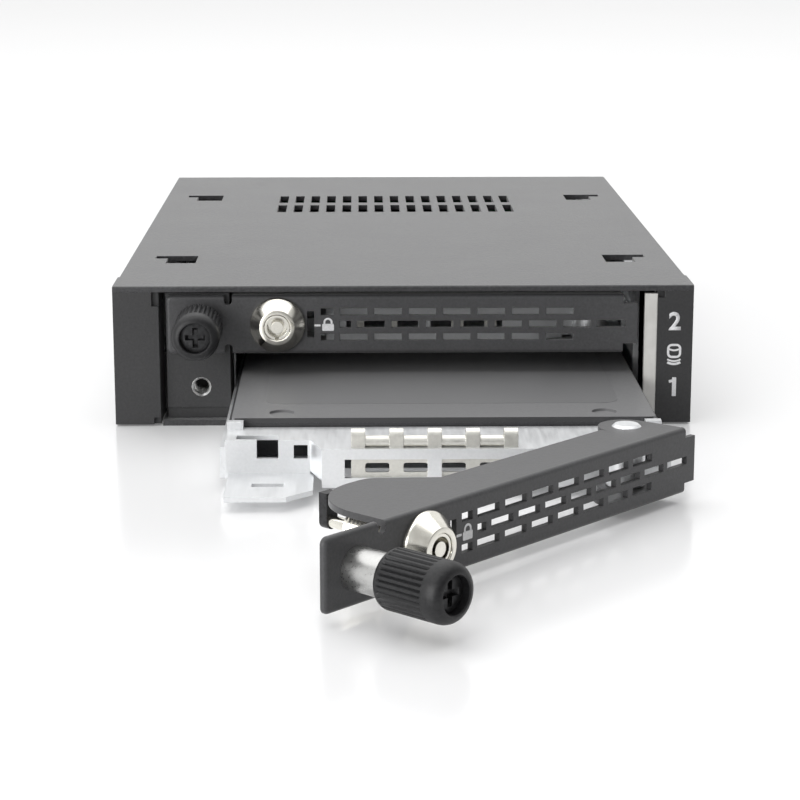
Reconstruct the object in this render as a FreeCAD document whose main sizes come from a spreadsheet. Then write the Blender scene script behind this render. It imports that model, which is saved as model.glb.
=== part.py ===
import FreeCAD, Part
import Sketcher
import math
import os
from types import SimpleNamespace

# Two-bay rack for 2.5 inch drives, made to fill one 3.5 inch bay, with a hinged locking cover on
# each bay. Lengths are millimetres, X points right, Y to the back and Z up, and the origin is the
# middle of the underside. The upper bay is shut; the lower tray is drawn out with its cover open.

SIZES = {
    # Folded steel shell
    "rack_width": 101.6,
    "body_inset": 0.35,
    "depth": 146.0,
    "height": 25.0,
    "sheet": 1.0,
    "tongue_setback": 0.4,
    "left_return": 5.5,
    "right_return": 3.6,
    "skirt_drop": 8.0,
    "skirt_inset": 12.0,
    # Room between pieces
    "free_gap": 0.3,
    "running_gap": 0.05,
    # Standard holes of a 3.5 inch drive
    "mount_hole_radius": 1.25,
    "side_hole_height": 6.35,
    "side_hole_rear": 28.5,
    "side_hole_span": 101.6,
    "floor_hole_rear": 41.28,
    "floor_hole_span": 44.45,
    "floor_hole_width": 95.25,
    # Small countersunk and pan screws
    "screw_head_radius": 2.0,
    "screw_shank_radius": 1.0,
    "screw_length": 2.6,
    "screw_sink": 0.5,
    "pan_head_height": 1.2,
    "cover_screw_front": 40.0,
    "cover_screw_span": 60.0,
    "cover_screw_drop": 4.5,
    # Openings of the top cover
    "lid_round": 0.4,
    "vent_width": 1.9,
    "vent_length": 10.2,
    "vent_pitch": 3.47,
    "vent_count": 15,
    "vent_front": 89.0,
    "vent_row_pitch": 14.1,
    "vent_rows": 2,
    "hook_slot_inner": 38.0,
    "hook_slot_outer": 43.5,
    "hook_slot_length": 8.0,
    "hook_slot_front": 24.5,
    "hook_slot_span": 82.2,
    "hook_ear_reach": 2.3,
    "hook_ear_width": 2.7,
    # Front bezels
    "bezel_depth": 9.8,
    "bezel_foot": 0.35,
    "bezel_wall": 1.2,
    "left_bezel_inner": 42.8,
    "right_bezel_inner": 44.5,
    "bezel_notch_width": 1.2,
    "bezel_notch_height": 2.5,
    "bezel_notch_depth": 0.8,
    "boss_radius": 1.6,
    "boss_edge": 2.7,
    "boss_height": 2.6,
    # Light guide and indicator board
    "guide_setback": 0.1,
    "guide_bottom": 1.2,
    "guide_top": 23.5,
    "guide_flange_left": 43.2,
    "guide_flange_right": 48.4,
    "guide_flange_sheet": 0.8,
    "lamp_width": 1.6,
    "lamp_height": 1.8,
    "lamp_depth": 1.4,
    "board_sheet": 1.6,
    "indicator_board_left": 46.2,
    "indicator_board_height": 13.2,
    # Bays
    "bay_left": 30.3,
    "bay_right": 42.2,
    "low_level": 6.75,
    "bay_pitch": 11.35,
    "bay_wall_front": 15.0,
    "bay_wall_rear": 128.0,
    "bay_wall_fold": 6.0,
    "ledge_reach": 2.4,
    "ledge_sheet": 0.6,
    "ledge_front": 17.0,
    # Block that takes the cover screws
    "block_left": 41.7,
    "block_right": 30.5,
    "block_depth": 10.6,
    "block_bottom": 3.0,
    "block_toe": 0.6,
    "block_top_gap": 0.4,
    "insert_wall": 0.4,
    "insert_length": 6.0,
    # Rear panel, backplane and ports
    "rear_tab_length": 8.0,
    "rear_tab_height": 16.0,
    "board_front": 132.0,
    "board_edge": 1.2,
    "board_left": 29.0,
    "board_right": 41.0,
    "standoff_radius": 2.4,
    "standoff_inset": 3.2,
    "standoff_drop": 3.6,
    "socket_length": 42.0,
    "socket_height": 5.0,
    "socket_depth": 6.0,
    "socket_slot_length": 38.4,
    "socket_slot_height": 1.6,
    "socket_offset": 8.0,
    "socket_drop": 1.05,
    "port_wall": 0.9,
    "port_height": 6.0,
    "data_port_length": 13.0,
    "data_port_pitch": 18.0,
    "data_port_left": 18.3,
    "power_port_length": 24.7,
    "power_port_left": 14.3,
    "port_tongue": 1.2,
    "rear_vent_width": 2.0,
    "rear_vent_height": 13.0,
    "rear_vent_pitch": 4.0,
    "rear_vent_count": 4,
    "rear_vent_left": 46.0,
    # Bay cover, folded from painted steel
    "cover_height": 10.4,
    "cover_sheet": 0.9,
    "cover_setback": 0.5,
    "cover_left": 41.6,
    "cover_right": 41.1,
    "tab_length": 2.5,
    "tab_notch": 1.6,
    "flange_left": 30.0,
    "flange_depth": 9.0,
    "wing_depth": 16.5,
    "wing_right": 16.0,
    "wing_round": 4.0,
    "flange_round": 10.5,
    "heel_left": 24.5,
    "heel_round": 4.0,
    "bend_share": 0.75,
    "relief_width": 1.4,
    "relief_depth": 1.0,
    "plate_round": 1.0,
    # Hinge of the cover on its tray
    "hinge_x": 33.4,
    "hinge_y": 7.5,
    "lobe_radius": 4.4,
    "pin_radius": 1.5,
    "rivet_radius": 2.3,
    "rivet_top_radius": 1.85,
    "rivet_height": 0.4,
    "knuckle_radius": 3.0,
    # Grille of the cover
    "grille_slot_length": 4.8,
    "grille_slot_width": 1.25,
    "grille_pitch": 6.03,
    "grille_row_pitch": 2.25,
    "grille_count": 7,
    "grille_outer_left": 11.16,
    "grille_middle_left": 8.13,
    "grille_stub_left": 11.15,
    "grille_stub_length": 1.9,
    "grille_square_left": 14.5,
    "grille_square_length": 2.3,
    "grille_gate_left": 16.9,
    "grille_gate_height": 4.7,
    "grille_window_left": 33.9,
    "grille_window_length": 5.1,
    # Cam lock
    "lock_x": 22.1,
    "lock_base_radius": 4.2,
    "lock_face_radius": 3.1,
    "lock_proud": 3.0,
    "lock_base_edge": 0.5,
    "lock_barrel_radius": 3.2,
    "lock_barrel_length": 11.5,
    "lock_plug_radius": 2.2,
    "lock_plug_recess": 0.25,
    "key_ring_outer": 1.75,
    "key_ring_inner": 1.1,
    "key_ring_depth": 2.2,
    "lock_nut_radius": 4.4,
    "lock_nut_height": 2.0,
    "lock_shaft_radius": 0.9,
    "cam_reach": 4.2,
    "cam_width": 2.2,
    "cam_sheet": 1.5,
    "cam_gap": 0.5,
    # Captive thumbscrew
    "screw_x": 35.7,
    "ferrule_radius": 3.0,
    "ferrule_length": 7.5,
    "ferrule_bore": 2.35,
    "ferrule_floor": 1.2,
    "ferrule_spigot": 2.4,
    "knob_radius": 4.4,
    "knob_length": 11.0,
    "knob_round": 0.8,
    "knob_recess_radius": 2.6,
    "knob_recess_depth": 2.2,
    "knob_socket_depth": 7.6,
    "knob_gap": 1.5,
    "knob_travel": 4.8,
    "shank_radius": 0.95,
    "shank_gap": 0.4,
    "shank_engagement": 3.0,
    "head_height": 1.0,
    "cross_width": 0.65,
    "collar_height": 1.2,
    "spring_wire": 0.4,
    "spring_turns": 4,
    # Drive
    "drive_width": 69.85,
    "drive_length": 100.0,
    "drive_height": 7.0,
    "drive_front": 25.5,
    "drive_gap": 0.12,
    "drive_corner": 1.2,
    "lid_sheet": 0.8,
    "lid_inset": 0.5,
    "lid_dimple_radius": 2.05,
    "lid_dimple_depth": 0.4,
    "lid_dimple_span": 52.8,
    "lid_dimple_front": 4.0,
    "plug_bay_length": 44.0,
    "plug_bay_depth": 5.0,
    "plug_bay_height": 4.6,
    "plug_parting": 1.4,
    "plug_parting_shift": 6.3,
    "drive_hole_width": 61.72,
    "drive_hole_rear": 14.0,
    "drive_hole_front": 9.4,
    # Tray, folded from zinc-plated steel
    "tray_sheet": 0.8,
    "tray_drop": 5.35,
    "tray_wall_height": 5.1,
    "tray_front": 17.3,
    "tray_rear": 118.0,
    "tray_window_length": 60.0,
    "tray_window_width": 44.0,
    "wall_bottom_drop": 4.0,
    "foot_drop": 5.15,
    "shelf_rise": 1.05,
    "plate_front": 10.5,
    "plate_left": 13.7,
    "bracket_right": 15.6,
    "foot_front": 2.4,
    "foot_left": 28.6,
    "foot_right": 15.0,
    "foot_chamfer": 4.0,
    "foot_slot_left": 24.6,
    "foot_slot_length": 5.0,
    "foot_slot_width": 2.0,
    "foot_slot_front": 8.4,
    "cam_window_width": 3.4,
    "cam_window_shift": 0.25,
    "cam_window_drop": 1.95,
    "side_window_left": 18.2,
    "side_window_width": 2.2,
    "cheek_length": 7.0,
    "stop_width": 2.6,
    "stop_height": 1.2,
    "panel_height": 3.0,
    "panel_rise": 1.75,
    "panel_margin": 1.0,
    "strip_slot_height": 1.5,
    "rivet_body_radius": 1.1,
    "tray_rivet_pitch": 24.0,
    "finger_count": 5,
    "finger_width": 2.2,
    "finger_pitch": 5.97,
    "finger_left": 9.1,
    "finger_sheet": 0.3,
    "finger_height": 2.9,
    "finger_reach": 2.2,
    "roll_radius": 0.9,
    # Pose in the photograph
    "lower_draw": 58.0,
    "lower_swing": 47.0,
}

OVERRUN = 1.0  # how far a cutting tool passes the surface that it cuts
STUD_SIDES = 8  # small fasteners only mark their place
BUSH_SIDES = 12  # bushes, bosses and rolls too small to need more

doc = FreeCAD.newDocument("drive_rack")
dims = doc.addObject("Spreadsheet::Sheet", "Dims")
for row, (alias, value) in enumerate(SIZES.items(), start=1):
    dims.set(f"A{row}", alias.replace("_", " "))
    dims.set(f"B{row}", str(value))
    dims.setAlias(f"B{row}", alias)
doc.recompute()


class Size:
    """A length that carries the formula tying it to the sheet."""

    def __init__(self, value, formula):
        self.value = value
        self.formula = formula

    def __add__(self, other):
        return Size(self.value + number(other), f"({self.formula} + {formula(other)})")

    def __sub__(self, other):
        return Size(self.value - number(other), f"({self.formula} - {formula(other)})")

    def __mul__(self, other):
        return Size(self.value * number(other), f"({self.formula} * {formula(other)})")

    def __truediv__(self, other):
        return Size(self.value / number(other), f"({self.formula} / {formula(other)})")

    def __neg__(self):
        return Size(-self.value, f"(0 - {self.formula})")

    def __radd__(self, other):
        return self + other

    def __rsub__(self, other):
        return -self + other

    def __rmul__(self, other):
        return self * other


def number(size):
    return size.value if isinstance(size, Size) else size


def formula(size):
    return size.formula if isinstance(size, Size) else f"({size})"


s = SimpleNamespace(**{alias: Size(dims.get(alias), f"Dims.{alias}") for alias in SIZES})
nodes = {}

# Places that several pieces share
front = -s.depth / 2
rear = s.depth / 2
half_rack = s.rack_width / 2
half_body = half_rack - s.body_inset
floor_top = s.sheet
roof = s.height - s.sheet
bay_middle = (s.bay_right - s.bay_left) / 2
levels = {"lower": s.low_level, "upper": s.low_level + s.bay_pitch}


def bind(thing, path, size):
    thing.setExpression(path, formula(size))


def node(label, thing):
    """Name a finished piece."""
    thing.Label = label
    nodes[label] = thing
    return thing


def block(x, y, z):
    """Block between a low and a high value on each axis."""
    made = doc.addObject("Part::Box", "Block")
    for edge, axis, (low, high) in zip(("Length", "Width", "Height"), "xyz", (x, y, z)):
        bind(made, edge, high - low)
        bind(made, f"Placement.Base.{axis}", low)
    return made


AXIS_TURNS = {
    "x": FreeCAD.Rotation(FreeCAD.Vector(0, 1, 0), 90),
    "y": FreeCAD.Rotation(FreeCAD.Vector(1, 0, 0), -90),
    "z": FreeCAD.Rotation(),
}


def lay(made, axis, start):
    """Turn a round piece to an axis and put its first end at a point."""
    made.Placement.Rotation = AXIS_TURNS[axis]
    for name, place in zip("xyz", start):
        bind(made, f"Placement.Base.{name}", place)
    return made


def rod(axis, radius, start, length):
    made = doc.addObject("Part::Cylinder", "Rod")
    bind(made, "Radius", radius)
    bind(made, "Height", length)
    return lay(made, axis, start)


def prism(axis, sides, radius, start, length):
    """Regular prism that stands for a small round piece or a hexagon."""
    made = doc.addObject("Part::Prism", "Prism")
    made.Polygon = sides
    bind(made, "Circumradius", radius)
    bind(made, "Height", length)
    return lay(made, axis, start)


def stud(axis, radius, start, length):
    return prism(axis, STUD_SIDES, radius, start, length)


def bush(axis, radius, start, length):
    return prism(axis, BUSH_SIDES, radius, start, length)


def hexagon(axis, radius, start, length):
    return prism(axis, 6, radius, start, length)


def fuse(*shapes):
    if len(shapes) == 1:
        return shapes[0]
    made = doc.addObject("Part::MultiFuse", "Fusion")
    made.Shapes = list(shapes)
    made.Refine = True
    return made


def cut(base, *tools):
    made = doc.addObject("Part::Cut", "Cut")
    made.Base = base
    made.Tool = fuse(*tools)
    made.Refine = True
    return made


def group(*shapes):
    made = doc.addObject("Part::Compound", "Group")
    made.Links = list(shapes)
    return made


def new_body():
    return doc.addObject("PartDesign::Body", "Body")


def sketch_on(body, role, offset=0, along=0):
    """Sketch on an origin plane, moved along its normal and along its first axis."""
    plane = next(item for item in body.Origin.OriginFeatures if item.Role == role)
    sketch = body.newObject("Sketcher::SketchObject", "Sketch")
    sketch.AttachmentSupport = (plane, [""])
    sketch.MapMode = "FlatFace"
    bind(sketch, "AttachmentOffset.Base.x", along)
    bind(sketch, "AttachmentOffset.Base.z", offset)
    return sketch


def tie(sketch, kind, place, size):
    """Hold one coordinate of a sketch point at a size."""
    index = sketch.addConstraint(Sketcher.Constraint(kind, -1, 1, *place, number(size)))
    if isinstance(size, Size):
        bind(sketch, f"Constraints[{index}]", size)


def polygon(sketch, corners):
    """Closed outline of straight edges."""
    first = sketch.GeometryCount
    spots = [FreeCAD.Vector(number(x), number(y), 0) for x, y in corners]
    for here, there in zip(spots, spots[1:] + spots[:1]):
        sketch.addGeometry(Part.LineSegment(here, there))
    for index, (x, y) in enumerate(corners):
        line = first + index
        previous = first + (index - 1) % len(corners)
        sketch.addConstraint(Sketcher.Constraint("Coincident", previous, 2, line, 1))
        tie(sketch, "DistanceX", (line, 1), x)
        tie(sketch, "DistanceY", (line, 1), y)


def rectangle(sketch, x, y):
    polygon(sketch, [(x[0], y[0]), (x[1], y[0]), (x[1], y[1]), (x[0], y[1])])


def circle(sketch, x, y, radius):
    centre = FreeCAD.Vector(number(x), number(y), 0)
    ring = sketch.addGeometry(Part.Circle(centre, FreeCAD.Vector(0, 0, 1), number(radius)))
    index = sketch.addConstraint(Sketcher.Constraint("Radius", ring, number(radius)))
    bind(sketch, f"Constraints[{index}]", radius)
    tie(sketch, "DistanceX", (ring, 3), x)
    tie(sketch, "DistanceY", (ring, 3), y)


def pad(body, sketch, length, backwards=False):
    made = body.newObject("PartDesign::Pad", "Pad")
    made.Profile = sketch
    made.Reversed = backwards
    bind(made, "Length", length)
    return made


def pocket(body, sketch, length):
    made = body.newObject("PartDesign::Pocket", "Pocket")
    made.Profile = sketch
    bind(made, "Length", length)
    return made


def row_of(body, feature, sketch, pitch, count):
    """Repeat a feature along the first axis of its sketch."""
    made = body.newObject("PartDesign::LinearPattern", "Row")
    made.Originals = [feature]
    made.Direction = (sketch, ["H_Axis"])
    bind(made, "Length", pitch * (count - 1))
    bind(made, "Occurrences", count)
    body.Tip = made
    return made


def round_edges(body, feature, radius, chosen):
    """Fillet the edges of a feature whose middle point passes a test."""
    doc.recompute()
    names = []
    for index, edge in enumerate(feature.Shape.Edges, start=1):
        middle = edge.valueAt((edge.FirstParameter + edge.LastParameter) / 2)
        if chosen(middle, edge):
            names.append(f"Edge{index}")
    made = body.newObject("PartDesign::Fillet", "Rounding")
    made.Base = (feature, names)
    bind(made, "Radius", radius)
    return made


def near(value, size):
    return abs(value - number(size)) < 0.01


def upright(edge):
    """True for a straight edge that runs along Z."""
    ends = [vertex.Point for vertex in edge.Vertexes]
    return len(ends) == 2 and (ends[1] - ends[0]).cross(FreeCAD.Vector(0, 0, 1)).Length < 0.001


def turned(profile, x):
    """Piece turned on an axis along Y at a place across; the profile is (radius, y)."""
    body = new_body()
    sketch = sketch_on(body, "XY_Plane", along=x)
    polygon(sketch, profile)
    made = body.newObject("PartDesign::Revolution", "Turning")
    made.Profile = sketch
    made.ReferenceAxis = (sketch, ["V_Axis"])
    made.Angle = 360
    return body


def side_screw(side, y, z):
    """Screw through a side wall, its head sunk flush with the outside."""
    head_start = -half_body if side < 0 else half_body - s.screw_sink
    shank_start = -half_body if side < 0 else half_body - s.screw_length
    head = stud("x", s.screw_head_radius, (head_start, y, z), s.screw_sink)
    shank = stud("x", s.screw_shank_radius, (shank_start, y, z), s.screw_length)
    return fuse(head, shank)


# Fasteners of the shell, which also cut their own holes
cover_screw_places = [front + s.cover_screw_front, front + s.cover_screw_front + s.cover_screw_span]
cover_screws = [
    side_screw(side, y, roof - s.cover_screw_drop) for side in (-1, 1) for y in cover_screw_places
]
rear_screws = [side_screw(side, rear - s.sheet - s.rear_tab_length / 2, s.height / 2) for side in (-1, 1)]

bezel_screw_x = (-half_rack + s.bezel_wall + s.boss_edge, half_rack - s.bezel_wall - s.boss_edge)
bezel_screw_z = (s.bezel_foot + s.boss_height, roof - s.boss_height)
bezel_back = front + s.bezel_depth
bezel_screws = [
    fuse(
        stud("y", s.screw_head_radius - s.free_gap, (x, bezel_back + s.sheet, z), s.pan_head_height),
        stud("y", s.screw_shank_radius, (x, bezel_back - s.screw_length, z), s.screw_length + s.sheet),
    )
    for x in bezel_screw_x
    for z in bezel_screw_z
]


def base_pan():
    """Floor and side walls folded in one, with tabs behind the bezels."""
    pan = new_body()
    fold = sketch_on(pan, "XZ_Plane", -bezel_back)
    polygon(
        fold,
        [
            (-half_body, 0),
            (half_body, 0),
            (half_body, roof),
            (half_body - s.sheet, roof),
            (half_body - s.sheet, floor_top),
            (s.sheet - half_body, floor_top),
            (s.sheet - half_body, roof),
            (-half_body, roof),
        ],
    )
    pad(pan, fold, s.depth - s.bezel_depth, backwards=True)
    tongue = sketch_on(pan, "XY_Plane")
    wide = (s.free_gap - s.left_bezel_inner, s.right_bezel_inner - s.free_gap)
    rectangle(tongue, wide, (front + s.tongue_setback, bezel_back + s.sheet))
    pad(pan, tongue, s.sheet)
    returns = sketch_on(pan, "XY_Plane")
    rectangle(returns, (-half_body, s.left_return - half_body), (bezel_back, bezel_back + s.sheet))
    rectangle(returns, (half_body - s.right_return, half_body), (bezel_back, bezel_back + s.sheet))
    pad(pan, returns, roof - s.free_gap)
    across = 2 * (half_body + OVERRUN)
    side_holes = [
        rod("x", s.mount_hole_radius, (-half_body - OVERRUN, rear - y, s.side_hole_height), across)
        for y in (s.side_hole_rear, s.side_hole_rear + s.side_hole_span)
    ]
    through = s.sheet + 2 * OVERRUN
    floor_holes = [
        rod("z", s.mount_hole_radius, (side * s.floor_hole_width / 2, rear - y, -OVERRUN), through)
        for side in (-1, 1)
        for y in (s.floor_hole_rear, s.floor_hole_rear + s.floor_hole_span)
    ]
    return cut(pan, *side_holes, *floor_holes, *cover_screws, *rear_screws, *bezel_screws)


def top_cover():
    """Lid with two rows of vents, four hook slots and a skirt inside each wall."""
    lid = new_body()
    outline = sketch_on(lid, "XY_Plane", roof)
    polygon(
        outline,
        [
            (-half_rack, front),
            (half_rack, front),
            (half_rack, bezel_back),
            (half_body, bezel_back),
            (half_body, rear),
            (-half_body, rear),
            (-half_body, bezel_back),
            (-half_rack, bezel_back),
        ],
    )
    plate = pad(lid, outline, s.sheet)
    round_edges(
        lid,
        plate,
        s.lid_round,
        lambda middle, edge: near(middle.y, front) and near(middle.z, s.height),
    )
    vent = sketch_on(lid, "XY_Plane", s.height)
    left = -s.vent_pitch * (s.vent_count - 1) / 2 - s.vent_width / 2
    rectangle(vent, (left, left + s.vent_width), (front + s.vent_front, front + s.vent_front + s.vent_length))
    vents = row_of(lid, pocket(lid, vent, s.sheet * 2), vent, s.vent_pitch, s.vent_count)
    vents.Direction2 = (vent, ["V_Axis"])
    bind(vents, "Length2", s.vent_row_pitch * (s.vent_rows - 1))
    bind(vents, "Occurrences2", s.vent_rows)
    hooks = sketch_on(lid, "XY_Plane", s.height)
    for side in (-1, 1):
        for shift in (0, s.hook_slot_span):
            near_edge = front + s.hook_slot_front + shift
            far_edge = near_edge + s.hook_slot_length
            ear = side * (s.hook_slot_outer + s.hook_ear_reach)
            polygon(
                hooks,
                [
                    (side * s.hook_slot_inner, near_edge),
                    (side * s.hook_slot_outer, near_edge),
                    (side * s.hook_slot_outer, far_edge - s.hook_ear_width),
                    (ear, far_edge - s.hook_ear_width),
                    (ear, far_edge),
                    (side * s.hook_slot_inner, far_edge),
                ],
            )
    pocket(lid, hooks, s.sheet * 2)
    length = (bezel_back + s.skirt_inset, rear - s.skirt_inset)
    drop = (roof - s.skirt_drop, roof)
    skirts = [
        block((s.sheet - half_body, 2 * s.sheet - half_body), length, drop),
        block((half_body - 2 * s.sheet, half_body - s.sheet), length, drop),
    ]
    return cut(fuse(lid, *skirts), *cover_screws)


def bezel_bosses(x):
    start = front + s.bezel_wall
    return [
        bush("y", s.boss_radius, (x, start, z), s.bezel_depth - s.bezel_wall) for z in bezel_screw_z
    ]


def left_bezel():
    """Hollow end piece at the left of the front, open at its back."""
    inner = -s.left_bezel_inner
    depth = (front, bezel_back)
    shell = block((-half_rack, inner), depth, (s.bezel_foot, roof))
    hollow = block(
        (s.bezel_wall - half_rack, inner - s.bezel_wall),
        (front + s.bezel_wall, bezel_back + OVERRUN),
        (s.bezel_foot + s.bezel_wall, roof - s.bezel_wall),
    )
    edge = (inner - s.bezel_notch_width, inner + OVERRUN)
    deep = (front - OVERRUN, front + s.bezel_notch_depth)
    top_notch = block(edge, deep, (roof - s.bezel_notch_height, roof + OVERRUN))
    foot_notch = block(edge, deep, (s.bezel_foot - OVERRUN, s.bezel_foot + s.bezel_notch_height / 2))
    shell = fuse(cut(shell, hollow, top_notch, foot_notch), *bezel_bosses(bezel_screw_x[0]))
    return cut(shell, *bezel_screws[:2])


def right_bezel():
    """Hollow end piece at the right, open towards the bays for the covers' hook ends."""
    inner = s.right_bezel_inner
    shell = block((inner, half_rack), (front, bezel_back), (s.bezel_foot, roof))
    hollow = block(
        (inner - OVERRUN, half_rack - s.bezel_wall),
        (front + s.bezel_wall, bezel_back + OVERRUN),
        (s.bezel_foot + s.bezel_wall / 2, roof - s.bezel_wall / 2),
    )
    edge = (inner - OVERRUN, inner + s.bezel_notch_width)
    deep = (front - OVERRUN, front + s.bezel_notch_depth)
    top_notch = block(edge, deep, (roof - s.bezel_notch_height / 2, roof + OVERRUN))
    shell = fuse(cut(shell, hollow, top_notch), *bezel_bosses(bezel_screw_x[1]))
    return cut(shell, *bezel_screws[2:])


guide_back = front + s.bezel_wall
guide_flange_back = guide_back + s.guide_flange_sheet
lamp_back = guide_flange_back + s.lamp_depth
indicator_z = (s.height / 2 - s.indicator_board_height / 2, s.height / 2 + s.indicator_board_height / 2)
indicator_middle = (s.indicator_board_left + s.guide_flange_right) / 2


def light_guide():
    """Clear strip beside the bays, with a flange behind the bezel that gathers the lamps' light."""
    strip = block(
        (s.bay_right + s.guide_setback, s.right_bezel_inner),
        (front + s.guide_setback, guide_back),
        (s.guide_bottom, s.guide_top),
    )
    flange = block((s.guide_flange_left, s.guide_flange_right), (guide_back, guide_flange_back), indicator_z)
    return fuse(strip, flange)


def indicator_lamps():
    wide = (indicator_middle - s.lamp_width / 2, indicator_middle + s.lamp_width / 2)
    return group(
        *[
            block(wide, (guide_flange_back, lamp_back), (z - s.lamp_height / 2, z + s.lamp_height / 2))
            for z in levels.values()
        ]
    )


def indicator_board():
    wide = (s.indicator_board_left, half_rack - s.bezel_wall)
    return block(wide, (lamp_back, lamp_back + s.board_sheet / 2), indicator_z)


block_face = front + s.cover_setback + s.cover_sheet + s.free_gap
insert_bore = s.shank_radius + s.shank_gap


def screw_block():
    """Block at the left of the bays that the thumbscrews go into."""
    wide = (-s.block_left, -s.block_right)
    back = block_face + s.block_depth
    head = block(wide, (block_face, back), (s.block_bottom, roof - s.block_top_gap))
    foot = block(wide, (block_face + s.block_toe, back), (floor_top, s.block_bottom))
    sockets = [
        bush("y", insert_bore + s.insert_wall, (-s.screw_x, block_face, z), s.insert_length)
        for z in levels.values()
    ]
    return cut(fuse(head, foot), *sockets)


def screw_inserts():
    """Plain-bored steel bushes for the thumbscrews."""
    inserts = []
    for z in levels.values():
        start = (-s.screw_x, block_face, z)
        sleeve = bush("y", insert_bore + s.insert_wall, start, s.insert_length)
        inserts.append(cut(sleeve, bush("y", insert_bore, start, s.insert_length)))
    return group(*inserts)


ledge_top = levels["upper"] - s.tray_drop - s.free_gap


def bay_wall(side):
    """Channel that guides the trays, with a ledge under the upper one."""
    inner = s.bay_right if side > 0 else -s.bay_left
    outer = inner + side * s.bay_wall_fold
    skin = inner + side * s.sheet
    wall = new_body()
    fold = sketch_on(wall, "XZ_Plane", -(front + s.bay_wall_front))
    polygon(
        fold,
        [
            (inner, floor_top),
            (inner, roof),
            (outer, roof),
            (outer, roof - s.sheet),
            (skin, roof - s.sheet),
            (skin, floor_top + s.sheet),
            (outer, floor_top + s.sheet),
            (outer, floor_top),
        ],
    )
    pad(wall, fold, s.bay_wall_rear - s.bay_wall_front, backwards=True)
    ledge = sketch_on(wall, "XZ_Plane", -(front + s.ledge_front))
    reach = inner - side * s.ledge_reach
    rectangle(ledge, (inner, reach), (ledge_top - s.ledge_sheet, ledge_top))
    pad(wall, ledge, s.bay_wall_rear - s.ledge_front, backwards=True)
    return wall


board_face = front + s.board_front
board_back = board_face + s.board_sheet
board_low = floor_top + s.board_edge
board_high = roof - s.board_edge
standoff_x = (s.standoff_inset - s.board_left, s.board_right - s.standoff_inset)
standoff_z = (board_low + s.standoff_drop, board_high - s.standoff_drop)
standoff_places = [(x, z) for x in standoff_x for z in standoff_z]
port_middle = s.height / 2
port_low = port_middle - s.port_height / 2
port_high = port_middle + s.port_height / 2
data_ports_left = [s.data_port_pitch * index - s.data_port_left for index in range(2)]
data_ports_x = [(left, left + s.data_port_length) for left in data_ports_left]
power_port_x = (s.power_port_left, s.power_port_left + s.power_port_length)


def board_screw(x, z):
    head = stud("y", s.screw_head_radius, (x, board_face - s.pan_head_height, z), s.pan_head_height)
    shank = stud("y", s.screw_shank_radius, (x, board_face, z), s.board_sheet + s.screw_length)
    return fuse(head, shank)


board_screws = [board_screw(x, z) for x, z in standoff_places]


def backplane_board():
    board = block((-s.board_left, s.board_right), (board_face, board_back), (board_low, board_high))
    return cut(board, *board_screws)


def backplane_standoffs():
    length = rear - s.sheet - board_back
    posts = [hexagon("y", s.standoff_radius, (x, board_back, z), length) for x, z in standoff_places]
    return group(*[cut(post, screw) for post, screw in zip(posts, board_screws)])


def drive_sockets():
    """Edge sockets that the drives push onto, one at each level."""
    middle = bay_middle - s.socket_offset
    sockets = []
    for level in levels.values():
        z = level - s.socket_drop
        shell = block(
            (middle - s.socket_length / 2, middle + s.socket_length / 2),
            (board_face - s.socket_depth, board_face),
            (z - s.socket_height / 2, z + s.socket_height / 2),
        )
        slot = block(
            (middle - s.socket_slot_length / 2, middle + s.socket_slot_length / 2),
            (board_face - s.socket_depth - OVERRUN, board_face - s.port_wall),
            (z - s.socket_slot_height / 2, z + s.socket_slot_height / 2),
        )
        sockets.append(cut(shell, slot))
    return group(*sockets)


def port(wide):
    """Shrouded plug on the back of the board, with its contact tongue."""
    shell = block(wide, (board_back, rear), (port_low, port_high))
    mouth = block(
        (wide[0] + s.port_wall, wide[1] - s.port_wall),
        (board_back + s.port_wall, rear + OVERRUN),
        (port_low + s.port_wall, port_high - s.port_wall),
    )
    tongue = block(
        (wide[0] + 2 * s.port_wall, wide[1] - 2 * s.port_wall),
        (board_back, rear - s.port_wall),
        (port_middle - s.port_tongue / 2, port_middle + s.port_tongue / 2),
    )
    return fuse(cut(shell, mouth), tongue)


def rear_panel():
    """Back plate with port windows and slots, screwed to the side walls by its tabs."""
    panel = new_body()
    plate = sketch_on(panel, "XZ_Plane", s.sheet - rear)
    inner = half_body - s.sheet
    rectangle(plate, (-inner, inner), (floor_top, roof))
    pad(panel, plate, s.sheet, backwards=True)
    slot = sketch_on(panel, "XZ_Plane", s.sheet - rear)
    low = s.height / 2 - s.rear_vent_height / 2
    left = -s.rear_vent_left
    rectangle(slot, (left, left + s.rear_vent_width), (low, low + s.rear_vent_height))
    row_of(panel, pocket(panel, slot, s.sheet), slot, s.rear_vent_pitch, s.rear_vent_count)
    low = s.height / 2 - s.rear_tab_height / 2
    tab_z = (low, low + s.rear_tab_height)
    tab_y = (rear - s.sheet - s.rear_tab_length, rear - s.sheet)
    tabs = [
        block((-inner, s.sheet - inner), tab_y, tab_z),
        block((inner - s.sheet, inner), tab_y, tab_z),
    ]
    windows = [
        block(wide, (rear - s.sheet - OVERRUN, rear + OVERRUN), (port_low, port_high))
        for wide in (*data_ports_x, power_port_x)
    ]
    return cut(fuse(panel, *tabs), *windows, *rear_screws)


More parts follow.
